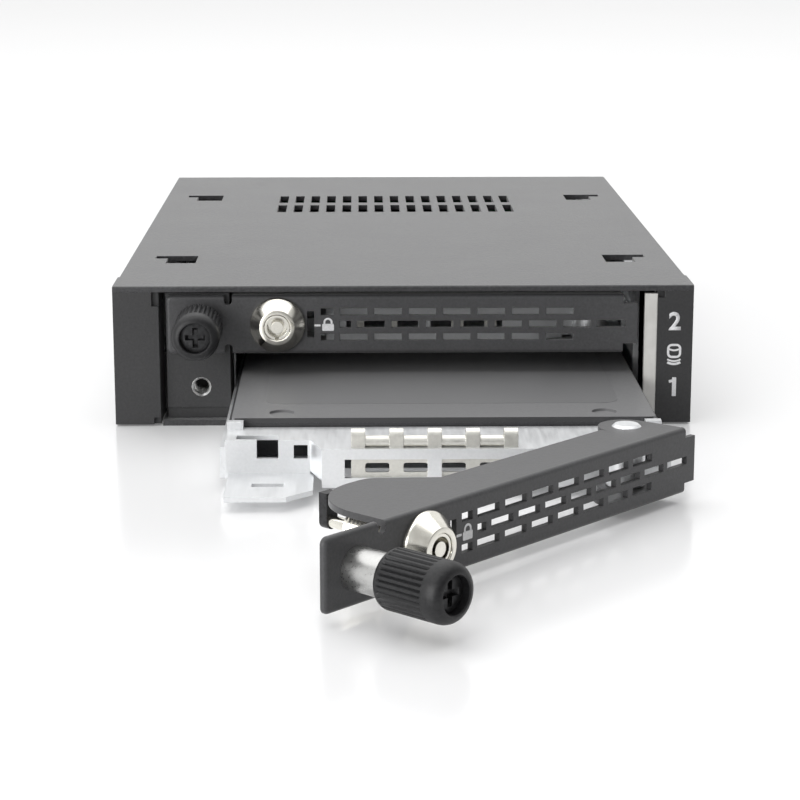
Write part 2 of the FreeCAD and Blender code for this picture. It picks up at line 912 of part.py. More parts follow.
node("base_pan", base_pan())
node("top_cover", top_cover())
node("cover_screws", group(*cover_screws))
node("left_bezel", left_bezel())
node("right_bezel", right_bezel())
node("bezel_screws", group(*bezel_screws))
node("light_guide", light_guide())
node("indicator_lamps", indicator_lamps())
node("indicator_board", indicator_board())
node("screw_block", screw_block())
node("screw_inserts", screw_inserts())
node("left_bay_wall", bay_wall(-1))
node("right_bay_wall", bay_wall(1))
node("backplane_board", backplane_board())
node("backplane_standoffs", backplane_standoffs())
node("backplane_screws", group(*board_screws))
node("drive_sockets", drive_sockets())
node("data_ports", group(*[port(wide) for wide in data_ports_x]))
node("power_port", port(power_port_x))
node("rear_panel", rear_panel())
node("rear_panel_screws", group(*rear_screws))


# Pieces of a bay stand in the bay's own frame: z from its mid-height, y from the front of the rack
# for the tray and from the cover's face for what the cover carries.
half_cover = s.cover_height / 2
flange_inside = half_cover - s.cover_sheet
tray_floor = s.tray_sheet - s.tray_drop
tray_inner = s.drive_width / 2 + s.drive_gap
tray_outer = tray_inner + s.tray_sheet
wall_low = -s.wall_bottom_drop
shelf_low = s.shelf_rise - s.tray_sheet
bracket_front = s.tray_front - s.tray_sheet
drive_rear = s.drive_front + s.drive_length
strip_front = s.plate_front + s.tray_sheet
strip_left = -s.finger_left
strip_right = strip_left + s.finger_pitch * (s.finger_count - 1) + s.finger_width
panel_z = (s.panel_rise - s.tray_drop, s.panel_rise - s.tray_drop + s.panel_height)


def cover_hinge_flange(cover, height, rear_edge):
    """Flange of the cover with its lobe round the hinge pin; the rear edge runs from lobe to left end."""
    lobe_left = s.hinge_x - s.lobe_radius
    outline = sketch_on(cover, "XY_Plane", height)
    polygon(
        outline,
        [
            (rear_edge[-1][0], 0),
            (s.cover_right - s.tab_length, 0),
            (s.hinge_x + s.lobe_radius, s.hinge_y),
            (lobe_left, s.hinge_y),
            (lobe_left, s.flange_depth),
            *rear_edge,
        ],
    )
    pad(cover, outline, s.cover_sheet, backwards=True)
    lobe = sketch_on(cover, "XY_Plane", height)
    circle(lobe, s.hinge_x, s.hinge_y, s.lobe_radius)
    return pad(cover, lobe, s.cover_sheet, backwards=True)


def round_corner(cover, feature, corner, radius):
    """Round one upright corner of a flange."""
    x, y = corner
    return round_edges(
        cover,
        feature,
        radius,
        lambda middle, edge: upright(edge) and near(middle.x, x) and near(middle.y, y),
    )


def slot_row(cover, left, z):
    """Row of grille slots at one height."""
    slot = sketch_on(cover, "XZ_Plane")
    half = s.grille_slot_width / 2
    rectangle(slot, (left, left + s.grille_slot_length), (z - half, z + half))
    row_of(cover, pocket(cover, slot, 2 * s.cover_sheet), slot, s.grille_pitch, s.grille_count)


def bay_cover():
    """Folded cover: hook end, hinge lobes, a wing over the lock, grille, bend reliefs and fixing holes."""
    cover = new_body()
    tab_start = s.cover_right - s.tab_length
    tab_half = half_cover - s.tab_notch
    face = sketch_on(cover, "XZ_Plane")
    polygon(
        face,
        [
            (-s.cover_left, -half_cover),
            (tab_start, -half_cover),
            (tab_start, -tab_half),
            (s.cover_right, -tab_half),
            (s.cover_right, tab_half),
            (tab_start, tab_half),
            (tab_start, half_cover),
            (-s.cover_left, half_cover),
        ],
    )
    plate = pad(cover, face, s.cover_sheet, backwards=True)
    round_edges(
        cover,
        plate,
        s.plate_round,
        lambda middle, edge: near(middle.x, -s.cover_left) and near(abs(middle.z), half_cover),
    )
    wing_start = (s.wing_depth - s.flange_depth - s.wing_right, s.flange_depth)
    wing_corner = (-s.wing_right, s.wing_depth)
    left_corner = (-s.flange_left, s.wing_depth)
    upper = cover_hinge_flange(cover, half_cover, [wing_start, wing_corner, left_corner])
    upper = round_corner(cover, upper, left_corner, s.flange_round)
    round_corner(cover, upper, wing_corner, s.wing_round)
    heel_corner = (s.heel_left, s.flange_depth)
    heel = cover_hinge_flange(cover, s.cover_sheet - half_cover, [heel_corner])
    folded = round_corner(cover, heel, heel_corner, s.heel_round)
    round_edges(
        cover,
        folded,
        s.cover_sheet * s.bend_share,
        lambda middle, edge: near(middle.y, 0) and near(abs(middle.z), half_cover),
    )
    hinge = sketch_on(cover, "XY_Plane", half_cover)
    circle(hinge, s.hinge_x, s.hinge_y, s.pin_radius)
    pocket(cover, hinge, s.cover_height)
    holes = sketch_on(cover, "XZ_Plane")
    circle(holes, -s.lock_x, 0, s.lock_barrel_radius)
    circle(holes, -s.screw_x, 0, s.ferrule_spigot)
    pocket(cover, holes, 2 * s.cover_sheet)
    reliefs = sketch_on(cover, "XZ_Plane")
    relief = (-s.flange_left - s.relief_width, -s.flange_left)
    for side in (-1, 1):
        rectangle(reliefs, relief, (side * half_cover, side * (half_cover - s.relief_depth)))
    pocket(cover, reliefs, 2 * s.cover_sheet)
    relief_ends = sketch_on(cover, "XZ_Plane")
    for side in (-1, 1):
        circle(
            relief_ends,
            -s.flange_left - s.relief_width / 2,
            side * (half_cover - s.relief_depth),
            s.relief_width / 2,
        )
    pocket(cover, relief_ends, 2 * s.cover_sheet)
    for z, left in ((s.grille_row_pitch, s.grille_outer_left), (0, s.grille_middle_left)):
        slot_row(cover, -left, z)
    slot_row(cover, -s.grille_outer_left, -s.grille_row_pitch)
    singles = sketch_on(cover, "XZ_Plane")
    half = s.grille_slot_width / 2
    high = s.grille_row_pitch
    square = (-s.grille_square_left, s.grille_square_length - s.grille_square_left)
    for z in (-high, high):
        rectangle(singles, square, (z - half, z + half))
    stub = (-s.grille_stub_left, s.grille_stub_length - s.grille_stub_left)
    rectangle(singles, stub, (-half, half))
    gate = (-s.grille_gate_left, s.grille_slot_width - s.grille_gate_left)
    rectangle(singles, gate, (-s.grille_gate_height / 2, s.grille_gate_height / 2))
    window = (s.grille_window_left, s.grille_window_left + s.grille_window_length)
    rectangle(singles, window, (-half, half))
    pocket(cover, singles, 2 * s.cover_sheet)
    return cover


def hinge_pin():
    """Rivet through the cover's two lobes, with its head on the upper one."""
    pin = new_body()
    sketch = sketch_on(pin, "XZ_Plane", -s.hinge_y, s.hinge_x)
    polygon(
        sketch,
        [
            (0, -half_cover),
            (s.pin_radius, -half_cover),
            (s.pin_radius, half_cover),
            (s.rivet_radius, half_cover),
            (s.rivet_top_radius, half_cover + s.rivet_height),
            (0, half_cover + s.rivet_height),
        ],
    )
    made = pin.newObject("PartDesign::Revolution", "Turning")
    made.Profile = sketch
    made.ReferenceAxis = (sketch, ["V_Axis"])
    made.Angle = 360
    return pin


lock_bore = s.lock_plug_radius + s.running_gap
lock_back = s.cover_sheet + s.lock_barrel_length
cam_front = s.tray_front - s.cover_setback + s.cam_gap
cam_back = cam_front + s.cam_sheet


def lock_housing():
    """Chromed body of the lock: a cone in front of the cover and a barrel behind it."""
    return turned(
        [
            (lock_bore, -s.lock_proud),
            (s.lock_face_radius, -s.lock_proud),
            (s.lock_base_radius, -s.lock_base_edge),
            (s.lock_base_radius, 0),
            (s.lock_barrel_radius, 0),
            (s.lock_barrel_radius, lock_back),
            (lock_bore, lock_back),
        ],
        -s.lock_x,
    )


def lock_nut():
    """Thin hexagon nut behind the cover."""
    body = hexagon("y", s.lock_nut_radius, (-s.lock_x, s.cover_sheet, 0), s.lock_nut_height)
    bore = rod("y", s.lock_barrel_radius, (-s.lock_x, 0, 0), s.cover_sheet + s.lock_nut_height + OVERRUN)
    return cut(body, bore)


def lock_plug():
    """Turning core with its ring keyway, the slot that shows its turn, and the cam's shaft."""
    face = s.lock_plug_recess - s.lock_proud
    core = turned(
        [
            (0, face),
            (s.key_ring_inner, face),
            (s.key_ring_inner, face + s.key_ring_depth),
            (s.key_ring_outer, face + s.key_ring_depth),
            (s.key_ring_outer, face),
            (s.lock_plug_radius, face),
            (s.lock_plug_radius, lock_back),
            (s.lock_shaft_radius, lock_back),
            (s.lock_shaft_radius, cam_back),
            (0, cam_back),
        ],
        -s.lock_x,
    )
    half = (s.key_ring_outer - s.key_ring_inner) / 2
    slot = block(
        (-s.lock_x - half, half - s.lock_x),
        (face - OVERRUN, face + s.key_ring_depth),
        (-s.lock_plug_radius - OVERRUN, -s.key_ring_inner),
    )
    return cut(core, slot)


def lock_cam():
    """Finger on the end of the plug: upright when unlocked, across behind the tray's wall when locked."""
    half = s.cam_width / 2
    finger = block((-s.lock_x - half, half - s.lock_x), (cam_front, cam_back), (0, s.cam_reach))
    hub = rod("y", half, (-s.lock_x, cam_front, 0), s.cam_sheet)
    bore = rod("y", s.lock_shaft_radius, (-s.lock_x, cam_front - OVERRUN, 0), s.cam_sheet + 2 * OVERRUN)
    return cut(fuse(finger, hub), bore)


def screw_ferrule():
    """Steel sleeve riveted into the cover that carries the thumbscrew."""
    hole = s.shank_radius + s.free_gap
    return turned(
        [
            (hole, -s.ferrule_floor),
            (s.ferrule_bore, -s.ferrule_floor),
            (s.ferrule_bore, -s.ferrule_length),
            (s.ferrule_radius, -s.ferrule_length),
            (s.ferrule_radius, 0),
            (s.ferrule_spigot, 0),
            (s.ferrule_spigot, s.cover_sheet),
            (hole, s.cover_sheet),
        ],
        -s.screw_x,
    )


def thumb_knob(out):
    """Knob with a screwdriver recess in front and a socket that runs over the ferrule."""
    back = -s.knob_gap - out
    face = back - s.knob_length
    return turned(
        [
            (s.shank_radius, face + s.knob_recess_depth),
            (s.knob_recess_radius, face + s.knob_recess_depth),
            (s.knob_recess_radius, face),
            (s.knob_radius - s.knob_round, face),
            (s.knob_radius, face + s.knob_round),
            (s.knob_radius, back),
            (s.ferrule_radius + s.free_gap, back),
            (s.ferrule_radius + s.free_gap, back - s.knob_socket_depth),
            (s.shank_radius, back - s.knob_socket_depth),
        ],
        -s.screw_x,
    )


def knob_screw(out):
    """Cross-head screw held in the knob, its plain shank reaching the block when pushed in."""
    seat = -s.knob_gap - out - s.knob_length + s.knob_recess_depth
    tip = s.cover_sheet + s.free_gap + s.shank_engagement - out
    head = s.knob_recess_radius - s.running_gap
    screw = turned(
        [
            (0, seat - s.head_height),
            (head, seat - s.head_height),
            (head, seat),
            (s.shank_radius, seat),
            (s.shank_radius, tip),
            (0, tip),
        ],
        -s.screw_x,
    )
    half = s.cross_width / 2
    deep = (seat - s.head_height - OVERRUN, seat)
    long_arm = (-s.screw_x - s.shank_radius, s.shank_radius - s.screw_x)
    across = block(long_arm, deep, (-half, half))
    upright_arm = block((-s.screw_x - half, half - s.screw_x), deep, (-s.shank_radius, s.shank_radius))
    return cut(screw, across, upright_arm)


def collar_places(out):
    start = -s.knob_gap - out - s.knob_socket_depth
    return start, start + s.collar_height


def spring_collar(out):
    """Washer between the knob and the spring that lets the knob turn on its own."""
    start, end = collar_places(out)
    bore = s.shank_radius + s.running_gap
    return turned(
        [
            (bore, start),
            (s.ferrule_bore - s.free_gap / 2, start),
            (s.ferrule_bore - s.free_gap / 2, end),
            (bore, end),
        ],
        -s.screw_x,
    )


def knob_spring(out):
    """Square-wire coil between the collar and the floor of the ferrule."""
    steps = 8
    wire = number(s.spring_wire)
    turns = int(number(s.spring_turns))
    radius = number(s.shank_radius + s.ferrule_bore) / 2
    low = number(collar_places(out)[1])
    rise = (-number(s.ferrule_floor) - low - wire) / (turns * steps)
    sections = []
    for step in range(turns * steps + 1):
        angle = 2 * math.pi * step / steps
        corners = []
        for outward, along in ((0, 0), (1, 0), (1, 1), (0, 1), (0, 0)):
            reach = radius + (outward - 0.5) * wire
            y = low + rise * step + along * wire
            x = reach * math.cos(angle) - number(s.screw_x)
            corners.append(FreeCAD.Vector(x, y, reach * math.sin(angle)))
        sections.append(Part.makePolygon(corners))
    made = doc.addObject("Part::Feature", "Spring")
    made.Shape = Part.makeLoft(sections, True, True)
    return made


def tray_pan(screws):
    """Floor and sides that carry the drive, with a window under it."""
    pan = new_body()
    fold = sketch_on(pan, "XZ_Plane", -s.tray_front)
    high = s.tray_wall_height - s.tray_drop
    left = bay_middle - tray_outer
    right = bay_middle + tray_outer
    polygon(
        fold,
        [
            (left, -s.tray_drop),
            (right, -s.tray_drop),
            (right, high),
            (right - s.tray_sheet, high),
            (right - s.tray_sheet, tray_floor),
            (left + s.tray_sheet, tray_floor),
            (left + s.tray_sheet, high),
            (left, high),
        ],
    )
    pad(pan, fold, s.tray_rear - s.tray_front, backwards=True)
    window = sketch_on(pan, "XY_Plane", tray_floor)
    middle = s.drive_front + s.drive_length / 2
    rectangle(
        window,
        (bay_middle - s.tray_window_width / 2, bay_middle + s.tray_window_width / 2),
        (middle - s.tray_window_length / 2, middle + s.tray_window_length / 2),
    )
    pocket(pan, window, 2 * s.tray_sheet)
    return cut(pan, *screws)


def rivet(x, y):
    """Flat rivet that holds the tray's front to its floor."""
    return stud("z", s.rivet_body_radius, (x, y, -s.tray_drop), 2 * s.tray_sheet)


def tray_front(rivets):
    """Folded front of the tray: shelf, stepped wall with windows, foot and hinge knuckle."""
    left = bay_middle - tray_inner
    right = bay_middle + tray_inner
    shelf_back = s.drive_front - s.free_gap
    plate_right = s.hinge_x
    piece = new_body()
    shelf = sketch_on(piece, "XY_Plane", shelf_low)
    polygon(
        shelf,
        [
            (left, bracket_front),
            (-s.bracket_right, bracket_front),
            (-s.plate_left, s.plate_front),
            (plate_right, s.plate_front),
            (plate_right, s.tray_front),
            (right, s.tray_front),
            (right, shelf_back),
            (left, shelf_back),
        ],
    )
    pad(piece, shelf, s.tray_sheet)
    wall = sketch_on(piece, "XY_Plane", wall_low)
    skin = s.tray_sheet
    polygon(
        wall,
        [
            (left, bracket_front),
            (-s.bracket_right, bracket_front),
            (-s.plate_left, s.plate_front),
            (plate_right, s.plate_front),
            (plate_right, s.plate_front + skin),
            (skin - s.plate_left, s.plate_front + skin),
            (skin - s.bracket_right, bracket_front + skin),
            (left, bracket_front + skin),
        ],
    )
    pad(piece, wall, shelf_low - wall_low)
    apron = sketch_on(piece, "XY_Plane", -s.foot_drop)
    apron_right = s.hinge_x - s.lobe_radius - s.free_gap
    rectangle(apron, (-s.plate_left, apron_right), (s.plate_front, strip_front))
    pad(piece, apron, s.foot_drop + wall_low)
    skirt = sketch_on(piece, "XY_Plane", -s.foot_drop)
    rectangle(skirt, (left, -s.bracket_right), (bracket_front, s.tray_front))
    pad(piece, skirt, s.foot_drop + wall_low + skin)
    foot = sketch_on(piece, "XY_Plane", -s.foot_drop)
    polygon(
        foot,
        [
            (-s.foot_left, bracket_front),
            (-s.foot_left, s.foot_front),
            (-s.foot_right - s.foot_chamfer, s.foot_front),
            (-s.foot_right, s.foot_front + s.foot_chamfer),
            (-s.foot_right, bracket_front + skin),
            (-s.foot_left, bracket_front + skin),
        ],
    )
    pad(piece, foot, skin)
    base = sketch_on(piece, "XY_Plane", tray_floor)
    rectangle(base, (left, right), (s.tray_front, shelf_back))
    pad(piece, base, skin)
    cheeks = sketch_on(piece, "XY_Plane", tray_floor)
    rectangle(cheeks, (left, left + skin), (s.tray_front, s.tray_front + s.cheek_length))
    rectangle(cheeks, (right - skin, right), (s.tray_front, s.tray_front + s.cheek_length))
    pad(piece, cheeks, s.shelf_rise - tray_floor)
    stops = sketch_on(piece, "XY_Plane", s.shelf_rise)
    rectangle(stops, (left, left + s.stop_width), (shelf_back - 2 * skin, shelf_back))
    rectangle(stops, (right - s.stop_width, right), (shelf_back - 2 * skin, shelf_back))
    pad(piece, stops, s.stop_height)
    knuckle = sketch_on(piece, "XY_Plane", wall_low)
    circle(knuckle, s.hinge_x, s.hinge_y + s.cover_setback, s.knuckle_radius)
    pad(piece, knuckle, flange_inside - s.running_gap * 2 - wall_low)
    bore = sketch_on(piece, "XY_Plane", flange_inside)
    circle(bore, s.hinge_x, s.hinge_y + s.cover_setback, s.pin_radius + s.running_gap)
    pocket(piece, bore, flange_inside - wall_low + OVERRUN)
    foot_slot = sketch_on(piece, "XY_Plane", skin - s.foot_drop)
    rectangle(
        foot_slot,
        (-s.foot_slot_left, s.foot_slot_length - s.foot_slot_left),
        (s.foot_slot_front, s.foot_slot_front + s.foot_slot_width),
    )
    pocket(piece, foot_slot, 2 * skin)
    cam_left = -s.lock_x - s.cam_window_shift - s.cam_window_width / 2
    cam_right = cam_left + s.cam_window_width
    cam_window = block(
        (cam_left, cam_right),
        (bracket_front - OVERRUN, s.tray_front + OVERRUN),
        (-s.cam_window_drop, s.shelf_rise + OVERRUN),
    )
    cam_sweep = block(
        (-s.lock_x - s.cam_reach - 2 * s.cam_gap, cam_right),
        (s.tray_front, s.tray_front + s.cam_sheet + 2 * s.cam_gap),
        (shelf_low - OVERRUN, s.shelf_rise + OVERRUN),
    )
    side_window = block(
        (-s.side_window_left, s.side_window_width - s.side_window_left),
        (bracket_front - OVERRUN, s.tray_front + OVERRUN),
        (-s.cam_window_drop, shelf_low),
    )
    middle_finger = strip_left + s.finger_pitch * (s.finger_count - 1) / 2
    panel_deep = (s.plate_front - OVERRUN, strip_front + OVERRUN)
    panels = [
        block((strip_left - s.panel_margin, middle_finger), panel_deep, panel_z),
        block((middle_finger + s.finger_width, strip_right + s.panel_margin), panel_deep, panel_z),
    ]
    strip_slot = block(
        (strip_left - s.running_gap, strip_right + s.running_gap),
        (strip_front, strip_front + s.finger_sheet + s.running_gap),
        (shelf_low - OVERRUN, s.shelf_rise + OVERRUN),
    )
    return cut(piece, cam_window, cam_sweep, side_window, *panels, strip_slot, *rivets)


def contact_fingers():
    """Springy strip behind the plate that earths the cover: slots below, fingers above, rolls between."""
    strip = new_body()
    top = s.shelf_rise + s.finger_height
    strip_back = strip_front + s.finger_sheet
    gap = s.finger_pitch - s.finger_width
    leg = sketch_on(strip, "XZ_Plane", -strip_front)
    rectangle(leg, (strip_left, strip_right), (s.tray_sheet - s.foot_drop, s.shelf_rise + s.roll_radius))
    pad(strip, leg, s.finger_sheet, backwards=True)
    finger = sketch_on(strip, "YZ_Plane", strip_left)
    polygon(
        finger,
        [
            (strip_front, s.shelf_rise),
            (strip_back, s.shelf_rise),
            (strip_back, top - s.finger_sheet),
            (strip_front + s.finger_reach, top - s.finger_sheet),
            (strip_front + s.finger_reach, top),
            (strip_front, top),
        ],
    )
    up = pad(strip, finger, s.finger_width)
    row_of(strip, up, leg, s.finger_pitch, s.finger_count)
    slot = sketch_on(strip, "XZ_Plane", -strip_front)
    slot_left = strip_left + s.finger_width
    slot_low = (panel_z[0] + panel_z[1] - s.strip_slot_height) / 2
    rectangle(slot, (slot_left, slot_left + gap), (slot_low, slot_low + s.strip_slot_height))
    row_of(strip, pocket(strip, slot, 2 * s.finger_sheet), slot, s.finger_pitch, s.finger_count - 1)
    rolls = []
    for index in range(int(number(s.finger_count)) - 1):
        start = (
            slot_left + s.finger_pitch * index,
            strip_front + s.roll_radius,
            s.shelf_rise + s.roll_radius,
        )
        rolls.append(bush("x", s.roll_radius, start, gap))
    return fuse(strip, *rolls)


def tray_place(thing, level, draw):
    """Put a tray piece at its level, drawn out of the rack."""
    y = front - draw
    base = f"vector(0; {formula(y)}; {formula(level)})"
    thing.setExpression("Placement", f"placement({base}; rotation(vector(0; 0; 1); 0))")


def cover_place(thing, level, draw, swing):
    """Put a cover piece at its level, swung open about its hinge."""
    y = front + s.cover_setback - draw
    base = f"vector(0; {formula(y)}; {formula(level)})"
    turn = f"rotation(vector(0; 0; 1); {formula(swing)})"
    hinge = f"vector({s.hinge_x.formula}; {s.hinge_y.formula}; 0)"
    thing.setExpression("Placement", f"placement({base}; {turn}; {hinge})")


def drive_screw(x, y):
    """Screw up through the tray's floor into the drive, its head sunk flush with the underside."""
    low = -s.tray_drop
    head = stud("z", s.screw_head_radius, (x, y, low), s.screw_sink)
    shank = stud("z", s.screw_shank_radius, (x, y, low), s.screw_length)
    return fuse(head, shank)


drive_hole_y = [drive_rear - s.drive_hole_rear, s.drive_front + s.drive_hole_front]
drive_hole_x = [bay_middle + side * s.drive_hole_width / 2 for side in (-1, 1)]


def drive_case(screws):
    """Body of the drive, with the bay of its plug at the back."""
    case = new_body()
    outline = sketch_on(case, "XY_Plane", tray_floor)
    half = s.drive_width / 2
    rectangle(outline, (bay_middle - half, bay_middle + half), (s.drive_front, drive_rear))
    body = pad(case, outline, s.drive_height - s.lid_sheet)
    round_edges(case, body, s.drive_corner, lambda middle, edge: upright(edge))
    middle = bay_middle - s.socket_offset
    plug_bay = block(
        (middle - s.plug_bay_length / 2, middle + s.plug_bay_length / 2),
        (drive_rear - s.plug_bay_depth, drive_rear + OVERRUN),
        (tray_floor - OVERRUN, tray_floor + s.plug_bay_height),
    )
    return cut(case, plug_bay, *screws)


def drive_lid():
    """Lid plate of the drive, with two screw dimples near its front corners."""
    lid = new_body()
    low = tray_floor + s.drive_height - s.lid_sheet
    half = s.drive_width / 2 - s.lid_inset
    outline = sketch_on(lid, "XY_Plane", low)
    rectangle(outline, (bay_middle - half, bay_middle + half), (s.drive_front, drive_rear - s.lid_inset))
    plate = pad(lid, outline, s.lid_sheet)
    round_edges(lid, plate, s.drive_corner, lambda middle, edge: upright(edge))
    dimples = sketch_on(lid, "XY_Plane", low + s.lid_sheet)
    for side in (-1, 1):
        x = bay_middle + side * s.lid_dimple_span / 2
        circle(dimples, x, s.drive_front + s.lid_dimple_front, s.lid_dimple_radius)
    pocket(lid, dimples, s.lid_dimple_depth)
    return lid


def drive_plug():
    """Contact blade at the back of the drive, parted between its power and data ends."""
    middle = bay_middle - s.socket_offset
    half = s.socket_slot_length / 2 - s.free_gap
    thick = s.socket_slot_height / 2 - s.free_gap / 2
    z = -s.socket_drop
    long = (drive_rear - s.plug_bay_depth, drive_rear - s.free_gap)
    blade = block((middle - half, middle + half), long, (z - thick, z + thick))
    part_line = middle + s.plug_parting_shift
    parting = block(
        (part_line, part_line + s.plug_parting),
        (long[0] + s.free_gap, long[1] + OVERRUN),
        (z - thick - OVERRUN, z + thick + OVERRUN),
    )
    return cut(blade, parting)


for name, level in levels.items():
    lower = name == "lower"
    draw = s.lower_draw if lower else 0
    swing = s.lower_swing if lower else 0
    out = s.knob_travel if lower else 0
    screws = [drive_screw(x, y) for x in drive_hole_x for y in drive_hole_y]
    rivet_y = s.tray_front + s.cheek_length / 2
    rivets = [rivet(bay_middle + s.tray_rivet_pitch * (index - 1), rivet_y) for index in range(3)]
    tray_pieces = {
        "tray_pan": cut(tray_pan(screws), *rivets),
        "tray_front": tray_front(rivets),
        "tray_rivets": group(*rivets),
        "contact_fingers": contact_fingers(),
    }
    if lower:
        tray_pieces["drive_case"] = drive_case(screws)
        tray_pieces["drive_lid"] = drive_lid()
        tray_pieces["drive_plug"] = drive_plug()
        tray_pieces["drive_screws"] = group(*screws)
    cover_pieces = {
        "bay_cover": bay_cover(),
        "hinge_pin": hinge_pin(),
        "lock_housing": lock_housing(),
        "lock_nut": lock_nut(),
        "lock_plug": lock_plug(),
        "lock_cam": lock_cam(),
        "screw_ferrule": screw_ferrule(),
        "thumb_knob": thumb_knob(out),
        "knob_screw": knob_screw(out),
        "spring_collar": spring_collar(out),
        "knob_spring": knob_spring(out),
    }
    for label, thing in tray_pieces.items():
        tray_place(node(f"{name}_{label}", thing), level, draw)
    for label, thing in cover_pieces.items():
        cover_place(node(f"{name}_{label}", thing), level, draw, swing)

doc.recompute()
faults = [item.Label for item in doc.Objects if "Invalid" in item.State or "Error" in item.State]
faults += [label for label, item in nodes.items() if item.Shape.isNull() or not item.Shape.isValid()]
if faults:
    raise RuntimeError(f"failed pieces: {sorted(set(faults))}")

os.makedirs("parts", exist_ok=True)
for label, item in nodes.items():
    item.Shape.exportStep(f"parts/{label}.step")
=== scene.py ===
import math

import bmesh
import bpy
from mathutils import Matrix, Vector


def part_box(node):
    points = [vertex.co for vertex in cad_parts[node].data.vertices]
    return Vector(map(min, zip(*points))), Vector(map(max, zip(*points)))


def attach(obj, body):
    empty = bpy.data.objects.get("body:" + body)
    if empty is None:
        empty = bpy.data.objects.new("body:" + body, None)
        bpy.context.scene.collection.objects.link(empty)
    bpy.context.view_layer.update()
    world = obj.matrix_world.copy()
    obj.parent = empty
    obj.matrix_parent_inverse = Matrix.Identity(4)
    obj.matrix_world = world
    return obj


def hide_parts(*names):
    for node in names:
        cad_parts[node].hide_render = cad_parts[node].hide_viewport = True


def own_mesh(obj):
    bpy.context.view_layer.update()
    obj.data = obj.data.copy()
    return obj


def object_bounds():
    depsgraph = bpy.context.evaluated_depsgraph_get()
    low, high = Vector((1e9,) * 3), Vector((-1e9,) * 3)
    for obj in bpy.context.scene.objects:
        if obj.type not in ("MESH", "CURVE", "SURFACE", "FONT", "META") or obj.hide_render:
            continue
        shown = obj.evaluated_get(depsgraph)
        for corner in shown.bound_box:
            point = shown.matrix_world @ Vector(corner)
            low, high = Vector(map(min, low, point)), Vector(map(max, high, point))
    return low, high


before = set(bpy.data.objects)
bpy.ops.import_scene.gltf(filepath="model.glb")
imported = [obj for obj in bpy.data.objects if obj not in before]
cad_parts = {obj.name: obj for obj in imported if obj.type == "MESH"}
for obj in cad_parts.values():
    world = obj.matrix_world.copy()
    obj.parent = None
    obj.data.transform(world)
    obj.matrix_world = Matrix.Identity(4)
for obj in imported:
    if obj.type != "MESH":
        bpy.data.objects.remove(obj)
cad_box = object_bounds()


# The shell of the rack: a base pan, a lid and a rear panel folded from steel sheet.
# They are powder coated dark grey. The coat has a fine pebbled grain, and a pale sheen where it
# is seen at a low angle.

MM = 0.001


class Value:
    """A node's output, whose arithmetic adds Math nodes."""

    def __init__(self, nodes, socket):
        self.nodes = nodes
        self.socket = socket

    def maths(self, operation, first, second):
        return self.nodes.node("ShaderNodeMath", {"operation": operation}, {0: first, 1: second})

    def __add__(self, other):
        return self.maths("ADD", self, other)

    def __radd__(self, other):
        return self.maths("ADD", other, self)

    def __sub__(self, other):
        return self.maths("SUBTRACT", self, other)

    def __rsub__(self, other):
        return self.maths("SUBTRACT", other, self)

    def __mul__(self, other):
        return self.maths("MULTIPLY", self, other)

    def __rmul__(self, other):
        return self.maths("MULTIPLY", other, self)

    def most(self, other):
        return self.maths("MAXIMUM", self, other)


class Nodes:
    """A node tree that is filled one node at a time."""

    def __init__(self, tree):
        self.tree = tree

    def plug(self, socket, value):
        if isinstance(value, Value):
            self.tree.links.new(value.socket, socket)
        else:
            socket.default_value = value

    def node(self, kind, settings, inputs, output=0):
        made = self.tree.nodes.new(kind)
        for name, value in settings.items():
            if name == "stops":
                for stop, (place, colour) in zip(made.color_ramp.elements, value):
                    stop.position = place
                    stop.color = colour
            else:
                setattr(made, name, value)
        for socket, value in inputs.items():
            self.plug(made.inputs[socket], value)
        return Value(self, made.outputs[output])


class Finish(Nodes):
    """One material, built from nodes on object coordinates."""

    def __init__(self, name, **plain):
        self.material = bpy.data.materials.new(name)
        self.material.use_nodes = True
        super().__init__(self.material.node_tree)
        self.shader = self.tree.nodes["Principled BSDF"]
        for socket, value in plain.items():
            self.feed(socket.replace("_", " "), value)

    def feed(self, socket, value):
        self.plug(self.shader.inputs[socket], value)

    def place(self):
        return self.node("ShaderNodeTexCoord", {}, {}, "Object")

    def noise(self, size, detail=2.0, stretch=(1, 1, 1)):
        """Cloudy pattern of a given grain size in metres."""
        spread = tuple(factor / size for factor in stretch)
        spot = self.node("ShaderNodeMapping", {}, {"Vector": self.place(), "Scale": spread})
        return self.node("ShaderNodeTexNoise", {}, {"Vector": spot, "Scale": 1.0, "Detail": detail})

    def between(self, mask, low, high):
        """Colour that runs from low to high with a mask."""
        stops = [(0.3, (*low, 1)), (0.7, (*high, 1))]
        return self.node("ShaderNodeValToRGB", {"stops": stops}, {"Fac": mask})

    def relief(self, height, depth, edge):
        """Bump of a depth in metres over edges softened to a radius."""
        soft = self.node("ShaderNodeBevel", {"samples": 4}, {"Radius": edge})
        bump = {"Height": height, "Strength": 1.0, "Distance": depth, "Normal": soft}
        self.feed("Normal", self.node("ShaderNodeBump", {}, bump))


PEBBLE = 0.42
COAT_CLOUD = 14.0


def powder_coat(name, dark, pale, roughness, sheen, gloss=0.5, grain_depth=0.03):
    """Coat with a pebbled grain whose depth is in millimetres."""
    coat = Finish(name, Specular_IOR_Level=gloss, Sheen_Weight=sheen, Sheen_Roughness=0.35)
    grain = coat.noise(PEBBLE * MM, 3.0)
    cloud = coat.noise(COAT_CLOUD * MM, 3.0)
    coat.feed("Base Color", coat.between(cloud * 0.35 + grain * 0.65, dark, pale))
    coat.feed("Roughness", roughness + 0.12 * (cloud - 0.5))
    coat.relief(grain, grain_depth * MM, 0.18 * MM)
    return coat.material


def dress(material, *names):
    """Give CAD pieces their finish."""
    for name in names:
        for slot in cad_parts[name].material_slots:
            slot.material = material


